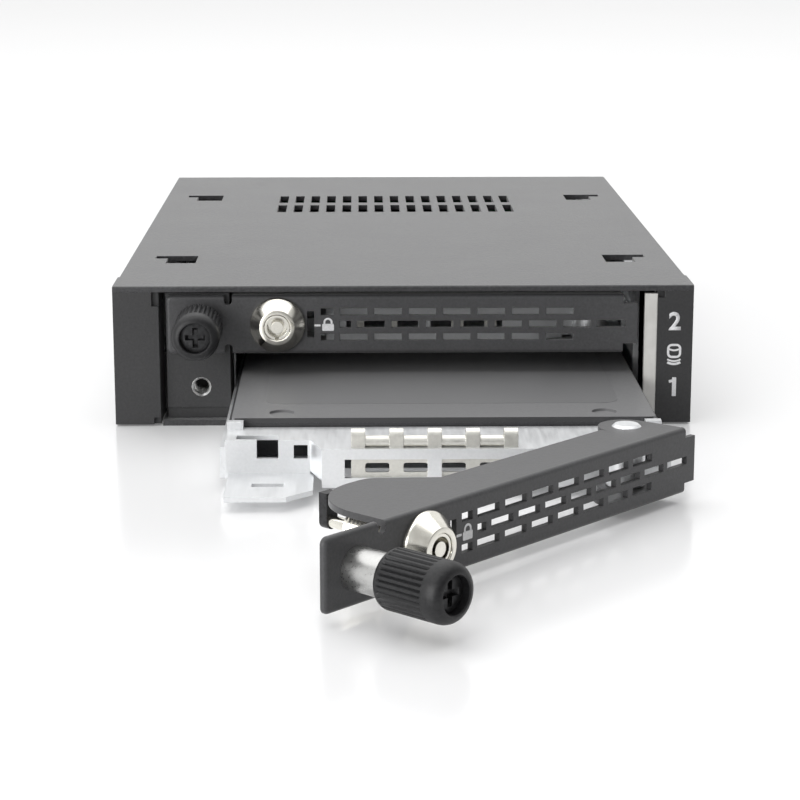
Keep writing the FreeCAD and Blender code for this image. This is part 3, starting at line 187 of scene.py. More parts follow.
shell_coat = powder_coat(
    "shell_coat", dark=(0.014, 0.014, 0.016), pale=(0.056, 0.056, 0.059),
    roughness=0.42, sheen=0.38, gloss=0.5, grain_depth=0.07,
)
dress(shell_coat, "base_pan", "top_cover", "rear_panel")


# The end pieces of the front and the block that takes the cover screws.
# They are moulded in dark plastic with a fine spark grain and screwed on from behind.

bezel_grain = powder_coat(
    "bezel_grain", dark=(0.02, 0.02, 0.021), pale=(0.032, 0.032, 0.033), roughness=0.5, sheen=0.05,
)
dress(bezel_grain, "left_bezel", "right_bezel", "screw_block")


# Threaded inserts in the block, one for each cover screw.
# Each is turned from steel, pressed in from the front, with a countersunk thread.

def finish_piece(name, mesh, material, body, replaced=()):
    """Make a finished mesh an object that rides on a body."""
    made = bpy.data.objects.new(name, mesh)
    bpy.context.scene.collection.objects.link(made)
    made.data.materials.clear()
    made.data.materials.append(material)
    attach(made, body)
    if replaced:
        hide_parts(*replaced)
    return made


def mesh_from(name, shape, place=None, smooth=None):
    """Turn a bmesh into a mesh, moved to its place, with edges under an angle smoothed."""
    if place is not None:
        bmesh.ops.transform(shape, matrix=place, verts=shape.verts)
    if smooth is not None:
        for face in shape.faces:
            face.smooth = True
        for edge in shape.edges:
            edge.smooth = edge.calc_face_angle(math.pi) < math.radians(smooth)
    mesh = bpy.data.meshes.new(name)
    shape.to_mesh(mesh)
    shape.free()
    return mesh


def gather(name, shapes, smooth=None):
    """Join several bmeshes into one mesh."""
    whole = bmesh.new()
    for shape in shapes:
        part = mesh_from("part", shape)
        whole.from_mesh(part)
        bpy.data.meshes.remove(part)
    return mesh_from(name, whole, smooth=smooth)


def moved(shape, place):
    """Move a bmesh by a matrix."""
    bmesh.ops.transform(shape, matrix=place, verts=shape.verts)
    return shape


def turned(profile, steps, closed=True):
    """Spin a profile of (radius, y) corners in millimetres round the Y axis."""
    shape = bmesh.new()
    corners = [shape.verts.new((radius, y, 0)) for radius, y in profile]
    ends = corners[1:] + corners[:1] if closed else corners[1:]
    line = [shape.edges.new(pair) for pair in zip(corners, ends)]
    bmesh.ops.spin(
        shape, geom=corners + line, cent=(0, 0, 0), axis=(0, 1, 0), angle=2 * math.pi,
        steps=steps, use_merge=True,
    )
    bmesh.ops.remove_doubles(shape, verts=shape.verts, dist=1e-4)
    bmesh.ops.recalc_face_normals(shape, faces=shape.faces)
    return shape


def thread(radius, rise, pitch, start, turns):
    """Ridge of a screw thread in millimetres: a triangle wound along the Y axis."""
    steps = 24
    foot = 7 / 8 * pitch  # the rest of the pitch is the flat root
    shape = bmesh.new()
    ridge = ((radius, start), (radius + rise, start + foot / 2), (radius, start + foot))
    corners = [shape.verts.new((reach, y, 0)) for reach, y in ridge]
    line = [shape.edges.new(pair) for pair in zip(corners, corners[1:] + corners[:1])]
    bmesh.ops.spin(
        shape, geom=corners + line, cent=(0, 0, 0), axis=(0, 1, 0), dvec=(0, pitch / steps, 0),
        angle=2 * math.pi * turns, steps=steps * turns,
    )
    open_ends = [edge for edge in shape.edges if edge.is_boundary]
    bmesh.ops.holes_fill(shape, edges=open_ends, sides=0)
    bmesh.ops.recalc_face_normals(shape, faces=shape.faces)
    return shape


STEEL_GRAIN = 0.5
STEEL_CLOUD = 9.0


def bright_steel(name, dark, pale, roughness, grain_length, metallic=1.0):
    """Plated or bare steel whose grain has a length in millimetres along Y."""
    steel = Finish(name, Metallic=metallic)
    rolled = steel.noise(STEEL_GRAIN * MM, 3.0, (1, STEEL_GRAIN / grain_length, 1))
    cloud = steel.noise(STEEL_CLOUD * MM, 2.0)
    steel.feed("Base Color", steel.between(cloud * 0.6 + rolled * 0.4, dark, pale))
    steel.feed("Roughness", roughness + 0.2 * (rolled - 0.5))
    steel.relief(rolled, 0.002 * MM, 0.12 * MM)
    return steel.material


insert_steel = bright_steel(
    "insert_steel", dark=(0.5, 0.5, 0.5), pale=(0.68, 0.68, 0.67), roughness=0.3, grain_length=0.4,
)

BAYS = ("upper", "lower")
SCREW_X = -35.7
LEVEL = {"upper": 18.1, "lower": 6.75}
SCREW_PITCH = 0.5
INSERT_RADIUS = 1.74
INSERT_BORE = 1.35
INSERT_LENGTH = 6.0
INSERT_EDGE = 0.02
INSERT_RIDGE = 0.13
INSERT_THREAD_START = 1.0
INSERT_TURNS = 8
COUNTERSINK = 0.32

insert_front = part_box("screw_inserts")[0].y
inserts = []
for bay in BAYS:
    place = Matrix.Translation((SCREW_X * MM, insert_front, LEVEL[bay] * MM)) @ Matrix.Scale(MM, 4)
    sleeve = turned(
        [
            (INSERT_BORE + COUNTERSINK, 0),
            (INSERT_RADIUS, INSERT_EDGE),
            (INSERT_RADIUS, INSERT_LENGTH),
            (INSERT_BORE, INSERT_LENGTH),
            (INSERT_BORE, 0.9 * COUNTERSINK),
        ],
        48,
    )
    winding = thread(INSERT_BORE, -INSERT_RIDGE, SCREW_PITCH, INSERT_THREAD_START, INSERT_TURNS)
    inserts += [moved(sleeve, place), moved(winding, place)]
finish_piece("threaded_inserts", gather("threaded_inserts", inserts, 30), insert_steel,
             "chassis", ["screw_inserts"])


# Marks on the right end piece: bay numbers and a stack of drive platters.
# They are printed in pale ink, and stand a hair proud of the face, as thick ink does.

INK_HEIGHT = 0.03
FIGURE_SHARE = 0.72  # height of a figure in the font's own size
pale_ink = Finish("pale_ink", Roughness=0.45)
speck = pale_ink.noise(0.3 * MM)
pale_ink.feed("Base Color", pale_ink.between(speck, (0.7, 0.7, 0.71), (0.82, 0.82, 0.83)))


def rounded_plate(width, height, corner, thick, segments=5):
    """Flat plate with rounded corners, its back at z 0 and its middle at the origin."""
    shape = bmesh.new()
    bmesh.ops.create_cube(shape, size=1.0)
    bmesh.ops.scale(shape, vec=(width, height, thick), verts=shape.verts)
    bmesh.ops.translate(shape, vec=(0, 0, thick / 2), verts=shape.verts)
    uprights = [edge for edge in shape.edges if abs(edge.verts[0].co.z - edge.verts[1].co.z) > thick / 2]
    bmesh.ops.bevel(
        shape, geom=uprights, offset=corner, offset_type="OFFSET", segments=segments,
        profile=0.5, affect="EDGES", material=-1,
    )
    return shape


def raised(shape, height=INK_HEIGHT):
    """Give a flat drawing a height, by default that of the ink."""
    lifted = bmesh.ops.extrude_face_region(shape, geom=shape.faces)
    top = [item for item in lifted["geom"] if isinstance(item, bmesh.types.BMVert)]
    bmesh.ops.translate(shape, verts=top, vec=(0, 0, height))
    bmesh.ops.recalc_face_normals(shape, faces=shape.faces)
    return shape


def numeral(text, height, boldness):
    """Flat numeral in millimetres with its middle at the origin."""
    curve = bpy.data.curves.new(f"numeral_{text}", "FONT")
    curve.body = text
    curve.align_x = "CENTER"
    curve.align_y = "CENTER"
    curve.size = (height - 2 * boldness) / FIGURE_SHARE
    curve.offset = boldness
    curve.resolution_u = 6
    holder = bpy.data.objects.new("numeral", curve)
    bpy.context.scene.collection.objects.link(holder)
    mesh = bpy.data.meshes.new_from_object(holder)
    bpy.data.objects.remove(holder)
    shape = bmesh.new()
    shape.from_mesh(mesh)
    bmesh.ops.remove_doubles(shape, verts=shape.verts, dist=1e-5)
    return raised(shape)


def arc(outer, line, start, sweep):
    """Curved ink line of an outer radius, from a start angle on through a sweep, in degrees."""
    shape = bmesh.new()
    ends = [shape.verts.new((radius, 0, 0)) for radius in (outer, outer - line)]
    edge = shape.edges.new(ends)
    bmesh.ops.rotate(shape, cent=(0, 0, 0), matrix=Matrix.Rotation(math.radians(start), 3, "Z"), verts=ends)
    bmesh.ops.spin(
        shape, geom=ends + [edge], cent=(0, 0, 0), axis=(0, 0, 1), angle=math.radians(sweep), steps=20,
    )
    return raised(shape)


def outline(width, height, corner, line):
    """Rounded frame of an ink line's width."""
    shape = rounded_plate(width, height, corner, INK_HEIGHT, 8)
    faces = [face for face in shape.faces if abs(face.normal.z) > 0.5]
    for face in faces:
        bmesh.ops.inset_region(shape, faces=[face], thickness=line, use_even_offset=True)
    bmesh.ops.bridge_loops(shape, edges=[edge for face in faces for edge in face.edges])
    bmesh.ops.delete(shape, geom=faces, context="FACES_ONLY")
    bmesh.ops.recalc_face_normals(shape, faces=shape.faces)
    return shape


def shifted(shape, x, y, turn=0.0):
    """Turn a flat drawing by degrees and move it."""
    return moved(shape, Matrix.Translation((x, y, 0)) @ Matrix.Rotation(math.radians(turn), 4, "Z"))


FRONT_FACING = Matrix.Rotation(math.radians(90), 4, "X")  # turns a flat drawing to face the front
MARK_X = 47.6
MARK_LEVEL = {"bay_number_2": 18.4, "drive_mark": 12.7, "bay_number_1": 6.8}
FIGURE_HEIGHT = 3.4
PLATTER_ARC = {"start": 240, "sweep": 60}
bezel_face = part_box("right_bezel")[0].y

stem = rounded_plate(width=0.72, height=FIGURE_HEIGHT, corner=0.08, thick=INK_HEIGHT, segments=2)
flag = rounded_plate(width=0.75, height=0.5, corner=0.08, thick=0.9 * INK_HEIGHT, segments=2)
marks = {
    "bay_number_2": [numeral("2", FIGURE_HEIGHT, boldness=0.12)],
    "drive_mark": [
        shifted(outline(width=2.5, height=2.55, corner=0.85, line=0.4), 0, 0.55),
        shifted(arc(outer=2.0, line=0.32, **PLATTER_ARC), 0, 2.5),
        shifted(arc(outer=2.5, line=0.3, **PLATTER_ARC), 0, 1.08),
        shifted(arc(outer=2.5, line=0.42, **PLATTER_ARC), 0, 0.5),
    ],
    "bay_number_1": [shifted(stem, 0.15, 0), shifted(flag, -0.42, 1.02, turn=14)],
}
for name, shapes in marks.items():
    z = MARK_LEVEL[name]
    place = Matrix.Translation((MARK_X * MM, bezel_face, z * MM)) @ Matrix.Scale(MM, 4) @ FRONT_FACING
    mesh = gather(name, [moved(shape, place) for shape in shapes])
    finish_piece(name, mesh, pale_ink.material, "chassis")


# The light strip beside the bays, with its lamps on a small board behind the bezel.
# The strip is milky clear plastic that carries the two lamps' light forward.

guide = Finish("guide_plastic", Roughness=0.22, Transmission_Weight=0.12, IOR=1.49)
haze = guide.noise(3 * MM)
guide.feed("Base Color", guide.between(haze, (0.68, 0.67, 0.64), (0.8, 0.79, 0.76)))
guide.relief(haze, 0.01 * MM, 0.3 * MM)
dress(guide.material, "light_guide")

lens = Finish("lamp_lens", Roughness=0.15, Transmission_Weight=0.5)
lens.feed("Base Color", lens.between(lens.noise(0.5 * MM), (0.75, 0.78, 0.72), (0.85, 0.86, 0.82)))
dress(lens.material, "indicator_lamps")

board = Finish("board_mask", Roughness=0.35, Coat_Weight=0.3)
weave = board.noise(0.8 * MM, 4.0)
board.feed("Base Color", board.between(weave, (0.008, 0.07, 0.03), (0.015, 0.11, 0.045)))
board.relief(weave, 0.01 * MM, 0.1 * MM)
dress(board.material, "indicator_board", "backplane_board")


# Walls between the bays: bright zinc-plated steel sheet, pressed and folded.
# The plate has a soft satin with a faint rolling grain along the sheet.

zinc = bright_steel(
    "zinc_plate", dark=(0.74, 0.75, 0.76), pale=(0.85, 0.86, 0.87),
    roughness=0.4, grain_length=6.0, metallic=0.7,
)
dress(zinc, "left_bay_wall", "right_bay_wall")


# The backplane: a board on four standoffs, with sockets for the drives and ports behind.
# Sockets and ports are moulded in black plastic, with gilt contacts on the ports' tongues.

turned_steel = bright_steel(
    "turned_steel", dark=(0.42, 0.42, 0.41), pale=(0.56, 0.56, 0.55), roughness=0.3, grain_length=0.4,
)
dress(turned_steel, "backplane_standoffs", "backplane_screws", "bezel_screws")

moulding = Finish("port_moulding", Roughness=0.42)
pebble = moulding.noise(0.25 * MM)
moulding.feed("Base Color", moulding.between(pebble, (0.012, 0.012, 0.013), (0.024, 0.024, 0.025)))
moulding.relief(pebble, 0.01 * MM, 0.08 * MM)
dress(moulding.material, "drive_sockets", "data_ports", "power_port")

gilt = Finish("gilt_contact", Metallic=1.0, Roughness=0.25)
gilt.feed("Base Color", gilt.between(gilt.noise(0.6 * MM), (0.7, 0.5, 0.2), (0.82, 0.62, 0.28)))

CONTACT_WIDTH = 0.7
CONTACT_LENGTH = 4.0
CONTACT_THICK = 0.12
CONTACT_CORNER = 0.1
CONTACT_PITCH = 1.27
CONTACT_SETBACK = 3.2
TONGUE_TOP = 13.1


def contact_row(left, right, count):
    """Gilt contacts on the upper side of a port's tongue."""
    shapes = []
    middle = power_high.y - CONTACT_SETBACK * MM
    for index in range(count):
        x = (left + right) / 2 + (index - (count - 1) / 2) * CONTACT_PITCH * MM
        shape = rounded_plate(
            CONTACT_WIDTH * MM, CONTACT_LENGTH * MM, CONTACT_CORNER * MM, CONTACT_THICK * MM, segments=2,
        )
        shapes.append(moved(shape, Matrix.Translation((x, middle, TONGUE_TOP * MM))))
    return shapes


DATA_PORT_WIDTH = 13.0
DATA_CONTACTS = 7
POWER_CONTACTS = 15
data_low, data_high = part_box("data_ports")
power_low, power_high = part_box("power_port")
contacts = contact_row(data_low.x, data_low.x + DATA_PORT_WIDTH * MM, DATA_CONTACTS)
contacts += contact_row(data_high.x - DATA_PORT_WIDTH * MM, data_high.x, DATA_CONTACTS)
contacts += contact_row(power_low.x, power_high.x, POWER_CONTACTS)
finish_piece("port_contacts", gather("port_contacts", contacts), gilt.material, "chassis")


# Screws in the sides that hold the lid and the rear panel.
# They have flat blacked heads with a cross recess, and are turned in flush with the wall.

blacked = Finish("blacked_steel", Metallic=0.6, Roughness=0.4)
film = blacked.noise(0.7 * MM, 3.0)
blacked.feed("Base Color", blacked.between(film, (0.02, 0.02, 0.021), (0.045, 0.045, 0.047)))
blacked.relief(film, 0.006 * MM, 0.08 * MM)

SIDE_HEAD_RADIUS = 2.0
SIDE_HEAD_THICK = 1.4


def cross_head(radius, thick, span, arm, sink):
    """Screw head in millimetres with a sunk cross that narrows to its floor, its top at z 0."""
    chamfer = 0.1 * thick
    floor_share = 0.72
    shape = bmesh.new()
    bmesh.ops.create_circle(shape, cap_ends=True, radius=radius, segments=48)
    half_long = span / 2
    half_wide = arm / 2
    for axis in ((1, 0, 0), (0, 1, 0)):
        for place in (-half_long, -half_wide, half_wide, half_long):
            bmesh.ops.bisect_plane(
                shape, geom=shape.verts[:] + shape.edges[:] + shape.faces[:],
                plane_co=Vector(axis) * place, plane_no=axis, dist=1e-4,
            )
    cross = []
    for face in shape.faces:
        middle = face.calc_center_median()
        along = max(abs(middle.x), abs(middle.y))
        across = min(abs(middle.x), abs(middle.y))
        if along < half_long and across < half_wide:
            cross.append(face)
    sunk = bmesh.ops.extrude_face_region(shape, geom=cross)
    bmesh.ops.delete(shape, geom=cross, context="FACES_ONLY")
    pit = [item for item in sunk["geom"] if isinstance(item, bmesh.types.BMVert)]
    bmesh.ops.translate(shape, verts=pit, vec=(0, 0, -sink))
    bmesh.ops.scale(shape, verts=pit, vec=(floor_share, floor_share, 1))
    rim = [edge for edge in shape.edges if edge.is_boundary]
    rim_corners = [corner for corner in shape.verts if corner.is_boundary]
    bmesh.ops.translate(shape, verts=rim_corners, vec=(0, 0, -chamfer))
    skirt = bmesh.ops.extrude_edge_only(shape, edges=rim)
    low = [item for item in skirt["geom"] if isinstance(item, bmesh.types.BMVert)]
    bmesh.ops.translate(shape, verts=low, vec=(0, 0, chamfer - thick))
    bmesh.ops.holes_fill(shape, edges=[edge for edge in shape.edges if edge.is_boundary], sides=0)
    bmesh.ops.remove_doubles(shape, verts=shape.verts, dist=1e-4)
    bmesh.ops.recalc_face_normals(shape, faces=shape.faces)
    return shape


for name, node, ends in (
    ("cover_screw_heads", "cover_screws", (0, 1)),
    ("rear_screw_heads", "rear_panel_screws", (0,)),
):
    low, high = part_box(node)
    heads = []
    for x, turn in ((low.x, -90), (high.x, 90)):
        for end in ends:
            y = low.y + SIDE_HEAD_RADIUS * MM + end * (high.y - low.y - 2 * SIDE_HEAD_RADIUS * MM)
            place = Matrix.Translation((x, y, (low.z + high.z) / 2)) @ Matrix.Scale(MM, 4)
            head = cross_head(SIDE_HEAD_RADIUS, SIDE_HEAD_THICK, span=2.3, arm=0.55, sink=0.8)
            heads.append(moved(head, place @ Matrix.Rotation(math.radians(turn), 4, "Y")))
    finish_piece(name, gather(name, heads, 35), blacked.material, "chassis", [node])


# The trays: zinc-plated sheet with a folded front, joined by rivets.
# The front is one blank, folded to a shelf, a plate, a bracket and a foot.

for bay in BAYS:
    dress(zinc, f"{bay}_tray_pan", f"{bay}_tray_front", f"{bay}_tray_rivets")


# The earthing strips: one behind each tray's front, which touches the cover when it is shut.
# Each is stamped from thin spring steel: a slotted leg, fingers that curl back at the top, and
# rolled tongues between them.

spring_steel = bright_steel(
    "spring_steel", dark=(0.62, 0.61, 0.57), pale=(0.78, 0.77, 0.72), roughness=0.42, grain_length=0.8,
)

RACK_FRONT = -73.0
DRAWN = {"upper": 0.0, "lower": 58.0}
STRIP_BACK = 11.3
STRIP_LEFT = -9.1
STRIP_SHEET = 0.3
STRIP_LOW = -4.35
SHELF = 1.05
FINGERS = 5
FINGER_WIDTH = 2.2
FINGER_PITCH = 5.97
FINGER_TOP = 3.95
CURL_RADIUS = 1.1
ROLL_RADIUS = 0.9
STRIP_SLOT = (-2.85, -1.35)
SLOT_CORNER = 0.4
LEG_CORNER = 0.1
SIDEWAYS = Matrix(((0, 0, 1, 0), (1, 0, 0, 0), (0, 1, 0, 0), (0, 0, 0, 1)))  # drawing's x goes back, y up


def curl(radius, start, sweep, width, rise=0.0):
    """Sheet rolled round the origin in millimetres, with a straight rise below its start."""
    shape = bmesh.new()
    ends = [shape.verts.new((reach, 0, 0)) for reach in (radius, radius - STRIP_SHEET)]
    edge = shape.edges.new(ends)
    bmesh.ops.rotate(shape, cent=(0, 0, 0), matrix=Matrix.Rotation(math.radians(start), 3, "Z"), verts=ends)
    if rise:
        leg = bmesh.ops.extrude_edge_only(shape, edges=[edge])
        foot = [item for item in leg["geom"] if isinstance(item, bmesh.types.BMVert)]
        bmesh.ops.translate(shape, verts=foot, vec=(0, -rise, 0))
    bmesh.ops.spin(
        shape, geom=ends + [edge], cent=(0, 0, 0), axis=(0, 0, 1), angle=math.radians(sweep), steps=24,
    )
    return moved(raised(shape, width), SIDEWAYS)


def slotted_leg(length):
    """Leg of the strip in millimetres, with rounded slots between the fingers."""
    shape = bmesh.new()
    gap = FINGER_PITCH - FINGER_WIDTH
    windows = [(length / 2, (STRIP_LOW + SHELF) / 2, length, SHELF - STRIP_LOW, LEG_CORNER)]
    for index in range(FINGERS - 1):
        middle = FINGER_WIDTH + gap / 2 + FINGER_PITCH * index
        windows.append((middle, sum(STRIP_SLOT) / 2, gap, STRIP_SLOT[1] - STRIP_SLOT[0], SLOT_CORNER))
    for x, y, width, height, corner in windows:
        place = Matrix.Translation((x, y, 0)) @ Matrix.Diagonal((width, height, 1, 1))
        made = bmesh.ops.create_grid(shape, x_segments=1, y_segments=1, size=0.5, matrix=place)
        bmesh.ops.bevel(
            shape, geom=made["verts"], offset=corner, offset_type="OFFSET", segments=5,
            profile=0.5, affect="VERTICES", material=-1,
        )
    bmesh.ops.delete(shape, geom=shape.faces[:], context="FACES_ONLY")
    bmesh.ops.triangle_fill(shape, edges=shape.edges[:], use_beauty=True, use_dissolve=False)
    return moved(raised(shape, -STRIP_SHEET), FRONT_FACING)


for bay in BAYS:
    strip = [slotted_leg(FINGER_PITCH * (FINGERS - 1) + FINGER_WIDTH)]
    curl_level = FINGER_TOP - CURL_RADIUS
    for index in range(FINGERS):
        rise = curl_level - SHELF + STRIP_SHEET
        finger = curl(CURL_RADIUS, start=180, sweep=-215, width=FINGER_WIDTH, rise=rise)
        strip.append(moved(finger, Matrix.Translation((FINGER_PITCH * index, CURL_RADIUS, curl_level))))
    for index in range(FINGERS - 1):
        roll = curl(ROLL_RADIUS, start=250, sweep=-300, width=FINGER_PITCH - FINGER_WIDTH)
        left = FINGER_WIDTH + FINGER_PITCH * index
        strip.append(moved(roll, Matrix.Translation((left, ROLL_RADIUS, SHELF + ROLL_RADIUS))))
    place = Matrix.Translation((STRIP_LEFT, RACK_FRONT - DRAWN[bay] + STRIP_BACK, LEVEL[bay]))
    place = Matrix.Scale(MM, 4) @ place
    mesh = gather(f"{bay}_finger_strip", [moved(shape, place) for shape in strip], 30)
    finish_piece(f"{bay}_finger_strip", mesh, spring_steel, f"{bay}_tray",
                 [f"{bay}_contact_fingers"])


# The flat drive in the lower tray: a thin dark metal case with a paler satin lid.
# The lid's front lip is painted dark as shade, which widens the dark band of the case's front edge, and a
# bare film with rounded corners is stuck on its top.

case_coat = powder_coat(
    "drive_case_coat", dark=(0.035, 0.035, 0.037), pale=(0.055, 0.055, 0.058),
    roughness=0.4, sheen=0.0, gloss=0.4, grain_depth=0.01,
)
dress(case_coat, "lower_drive_case")
dress(moulding.material, "lower_drive_plug")
dress(turned_steel, "lower_drive_screws")

LIP = 0.25
# painted shade: the lid's front lip is coloured dark for the shade and the dark case edge at the drive's
# front
LIP_PAINTED_SHADE = (0.045, 0.045, 0.047, 1)
lid_low, lid_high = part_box("lower_drive_lid")
lid_coat = Finish("drive_lid_coat", Roughness=0.42)
brushed = lid_coat.noise(0.5 * MM, 3.0)
satin = lid_coat.between(brushed, (0.19, 0.19, 0.194), (0.215, 0.215, 0.219))
depth = lid_coat.node("ShaderNodeSeparateXYZ", {}, {0: lid_coat.place()}, "Y")
behind_lip = depth.maths("GREATER_THAN", depth, lid_low.y + LIP * MM)
lid_mix = {0: behind_lip, 6: LIP_PAINTED_SHADE, 7: satin}  # sockets of a colour mix: factor, first, second
lid_coat.feed("Base Color", lid_coat.node("ShaderNodeMix", {"data_type": "RGBA"}, lid_mix, output=2))
lid_coat.relief(brushed, 0.008 * MM, 0.1 * MM)
dress(lid_coat.material, "lower_drive_lid")

label_film = Finish("label_film", Roughness=0.36)
shade = label_film.noise(25 * MM)
label_film.feed("Base Color", label_film.between(shade, (0.19, 0.19, 0.194), (0.21, 0.21, 0.214)))
label_film.relief(label_film.noise(0.4 * MM), 0.004 * MM, 0.02 * MM)

LABEL_WIDTH = 59.0
LABEL_LENGTH = 82.0
LABEL_CORNER = 3.0
LABEL_THICK = 0.05
LABEL_SETBACK = 51.0
label_place = Matrix.Translation(((lid_low.x + lid_high.x) / 2, lid_low.y + LABEL_SETBACK * MM, lid_high.z))
label = rounded_plate(
    LABEL_WIDTH * MM, LABEL_LENGTH * MM, LABEL_CORNER * MM, LABEL_THICK * MM, segments=8,
)
finish_piece("drive_label", mesh_from("drive_label", label, label_place), label_film.material,
             "lower_tray")


# The bay covers: steel sheet folded into a channel with a satin black coat.
# Each hangs on a plated rivet through its lobes, which is its hinge pin.

cover_coat = powder_coat(
    "cover_coat", dark=(0.05, 0.05, 0.052), pale=(0.074, 0.074, 0.077),
    roughness=0.42, sheen=0.24, gloss=0.4, grain_depth=0.016,
)
for bay in BAYS:
    dress(cover_coat, f"{bay}_bay_cover")
    dress(zinc, f"{bay}_hinge_pin")


# Marks on the covers: a padlock and a pointer dash beside the lock, printed in pale ink.
# They go where the cover is at rest, so they are drawn on its face and then swung with it.

HINGE = Vector((33.4, 7.5, 0))
COVER_SETBACK = 0.5
SWUNG = {"upper": 0.0, "lower": 47.0}
PADLOCK_X = -13.25
PADLOCK_DROP = -0.1
SHACKLE_RADIUS = 0.8
SHACKLE_LINE = 0.34


def on_cover(bay):
    """From a cover's own frame, in millimetres from its face, to the shared frame in metres."""
    base = Vector((0, RACK_FRONT + COVER_SETBACK - DRAWN[bay], LEVEL[bay]))
    turn = Matrix.Rotation(math.radians(SWUNG[bay]), 4, "Z")
    return Matrix.Scale(MM, 4) @ Matrix.Translation(base + HINGE) @ turn @ Matrix.Translation(-HINGE)


for bay in BAYS:
    padlock = [
        shifted(rounded_plate(2.05, 1.25, corner=0.18, thick=INK_HEIGHT, segments=4), 0, -0.4),
        shifted(arc(SHACKLE_RADIUS, SHACKLE_LINE, start=0, sweep=180), 0, 0.5),
    ]
    for side in (-1, 1):
        leg = rounded_plate(SHACKLE_LINE, 0.4, corner=0.02, thick=INK_HEIGHT, segments=1)
        padlock.append(shifted(leg, side * (SHACKLE_RADIUS - SHACKLE_LINE / 2), 0.33))
    pointer = rounded_plate(1.1, 0.36, corner=0.08, thick=INK_HEIGHT, segments=3)
    padlock.append(shifted(pointer, -1.85, -0.05))
    place = on_cover(bay) @ Matrix.Translation((PADLOCK_X, 0, PADLOCK_DROP)) @ FRONT_FACING
    mark = gather(f"{bay}_lock_mark", [moved(shape, place) for shape in padlock])
    finish_piece(f"{bay}_lock_mark", mark, pale_ink.material, f"{bay}_cover")


# The locks: brass bodies turned to a cone in front and a threaded barrel behind, bright chromed.
# The chrome is warm in its reflections. A blacked steel nut and cam sit behind the cover.

chrome = Finish("lock_chrome", Metallic=1.0)
wear = chrome.noise(1.6 * MM, 3.0)
chrome.feed("Base Color", chrome.between(wear, (0.74, 0.72, 0.65), (0.86, 0.84, 0.77)))
chrome.feed("Roughness", 0.12 + 0.12 * wear)
chrome.relief(wear, 0.003 * MM, 0.12 * MM)

LOCK_X = -22.1
LOCK_BORE = 2.25
LOCK_PROUD = 3.0
LOCK_FACE_RADIUS = 3.1
LOCK_BASE_RADIUS = 4.85
BARREL_RADIUS = 3.2
BARREL_BACK = 12.5
BARREL_THREAD_START = 1.2
BARREL_PITCH = 0.75
BARREL_RIDGE = 0.22

for bay in BAYS:
    ridges = []
    for index in range(int((BARREL_BACK - BARREL_THREAD_START) / BARREL_PITCH)):
        y = BARREL_THREAD_START + index * BARREL_PITCH
        ridges += [(BARREL_RADIUS, y), (BARREL_RADIUS - BARREL_RIDGE, y + BARREL_PITCH / 2)]
    body = turned(
        [
            (LOCK_BORE, 0.12 - LOCK_PROUD),
            (LOCK_BORE + 0.12, -LOCK_PROUD),
            (LOCK_FACE_RADIUS - 0.16, -LOCK_PROUD),
            (LOCK_FACE_RADIUS - 0.04, 0.05 - LOCK_PROUD),
            (LOCK_FACE_RADIUS + 0.06, 0.2 - LOCK_PROUD),
            (LOCK_BASE_RADIUS - 0.16, -0.78),
            (LOCK_BASE_RADIUS - 0.04, -0.6),
            (LOCK_BASE_RADIUS, -0.42),
            (LOCK_BASE_RADIUS, -0.1),
            (LOCK_BASE_RADIUS - 0.1, 0),
            (BARREL_RADIUS, 0),
            *ridges,
            (BARREL_RADIUS - 0.1, BARREL_BACK),
            (LOCK_BORE, BARREL_BACK),
        ],
        96,
    )
    place = on_cover(bay) @ Matrix.Translation((LOCK_X, 0, 0))
    mesh = mesh_from(f"{bay}_lock_body", body, place, smooth=32)
    finish_piece(f"{bay}_lock_body", mesh, chrome.material, f"{bay}_cover",
                 [f"{bay}_lock_housing"])
    dress(chrome.material, f"{bay}_lock_plug")
    dress(blacked.material, f"{bay}_lock_nut", f"{bay}_lock_cam")


# The captive thumbscrews: a steel sleeve riveted in the cover and a black knob that slides on it.
# The knob has a straight knurl and a smooth rounded nose, and holds a cross-head screw, a washer
# and a spring.

for bay in BAYS:
    dress(turned_steel, f"{bay}_screw_ferrule", f"{bay}_spring_collar")

knob_black = Finish("knob_black", Roughness=0.42, Specular_IOR_Level=0.35)
rubbed = knob_black.noise(0.5 * MM, 3.0)
knob_black.feed("Base Color", knob_black.between(rubbed, (0.008, 0.008, 0.009), (0.018, 0.018, 0.019)))
knob_black.relief(rubbed, 0.012 * MM, 0.06 * MM)

KNOB_RADIUS = 4.15
KNOB_LENGTH = 11.0
KNOB_BACK = {"upper": 1.5, "lower": 6.3}
SOCKET_RADIUS = 3.3
SOCKET_DEPTH = 7.6
RECESS_RADIUS = 2.6
RECESS_DEPTH = 2.2
SHANK_RADIUS = 0.95
KNURL_TEETH = 32
KNURL_DEPTH = (0.34, 0.2, 0, 0, 0, 0.2)
KNURL = (1.2, 8.0)
KNURL_RUNOUT = 0.35
SOCKET_PLAY = 0.03
RECESS_EDGE = 0.15
BACK_ROUND = 0.75
BACK_LENGTH = KNURL[0] - KNURL_RUNOUT
NOSE_ROUND = 1.3
NOSE_LENGTH = 1.9


def rounded_edge(radius, y, inwards, along):
    """Corners of a quarter ellipse, from a cylinder's side at y in to its end, in millimetres."""
    angles = [math.radians(18 * step) for step in range(6)]
    return [(radius - inwards * (1 - math.cos(angle)), y + along * math.sin(angle)) for angle in angles]


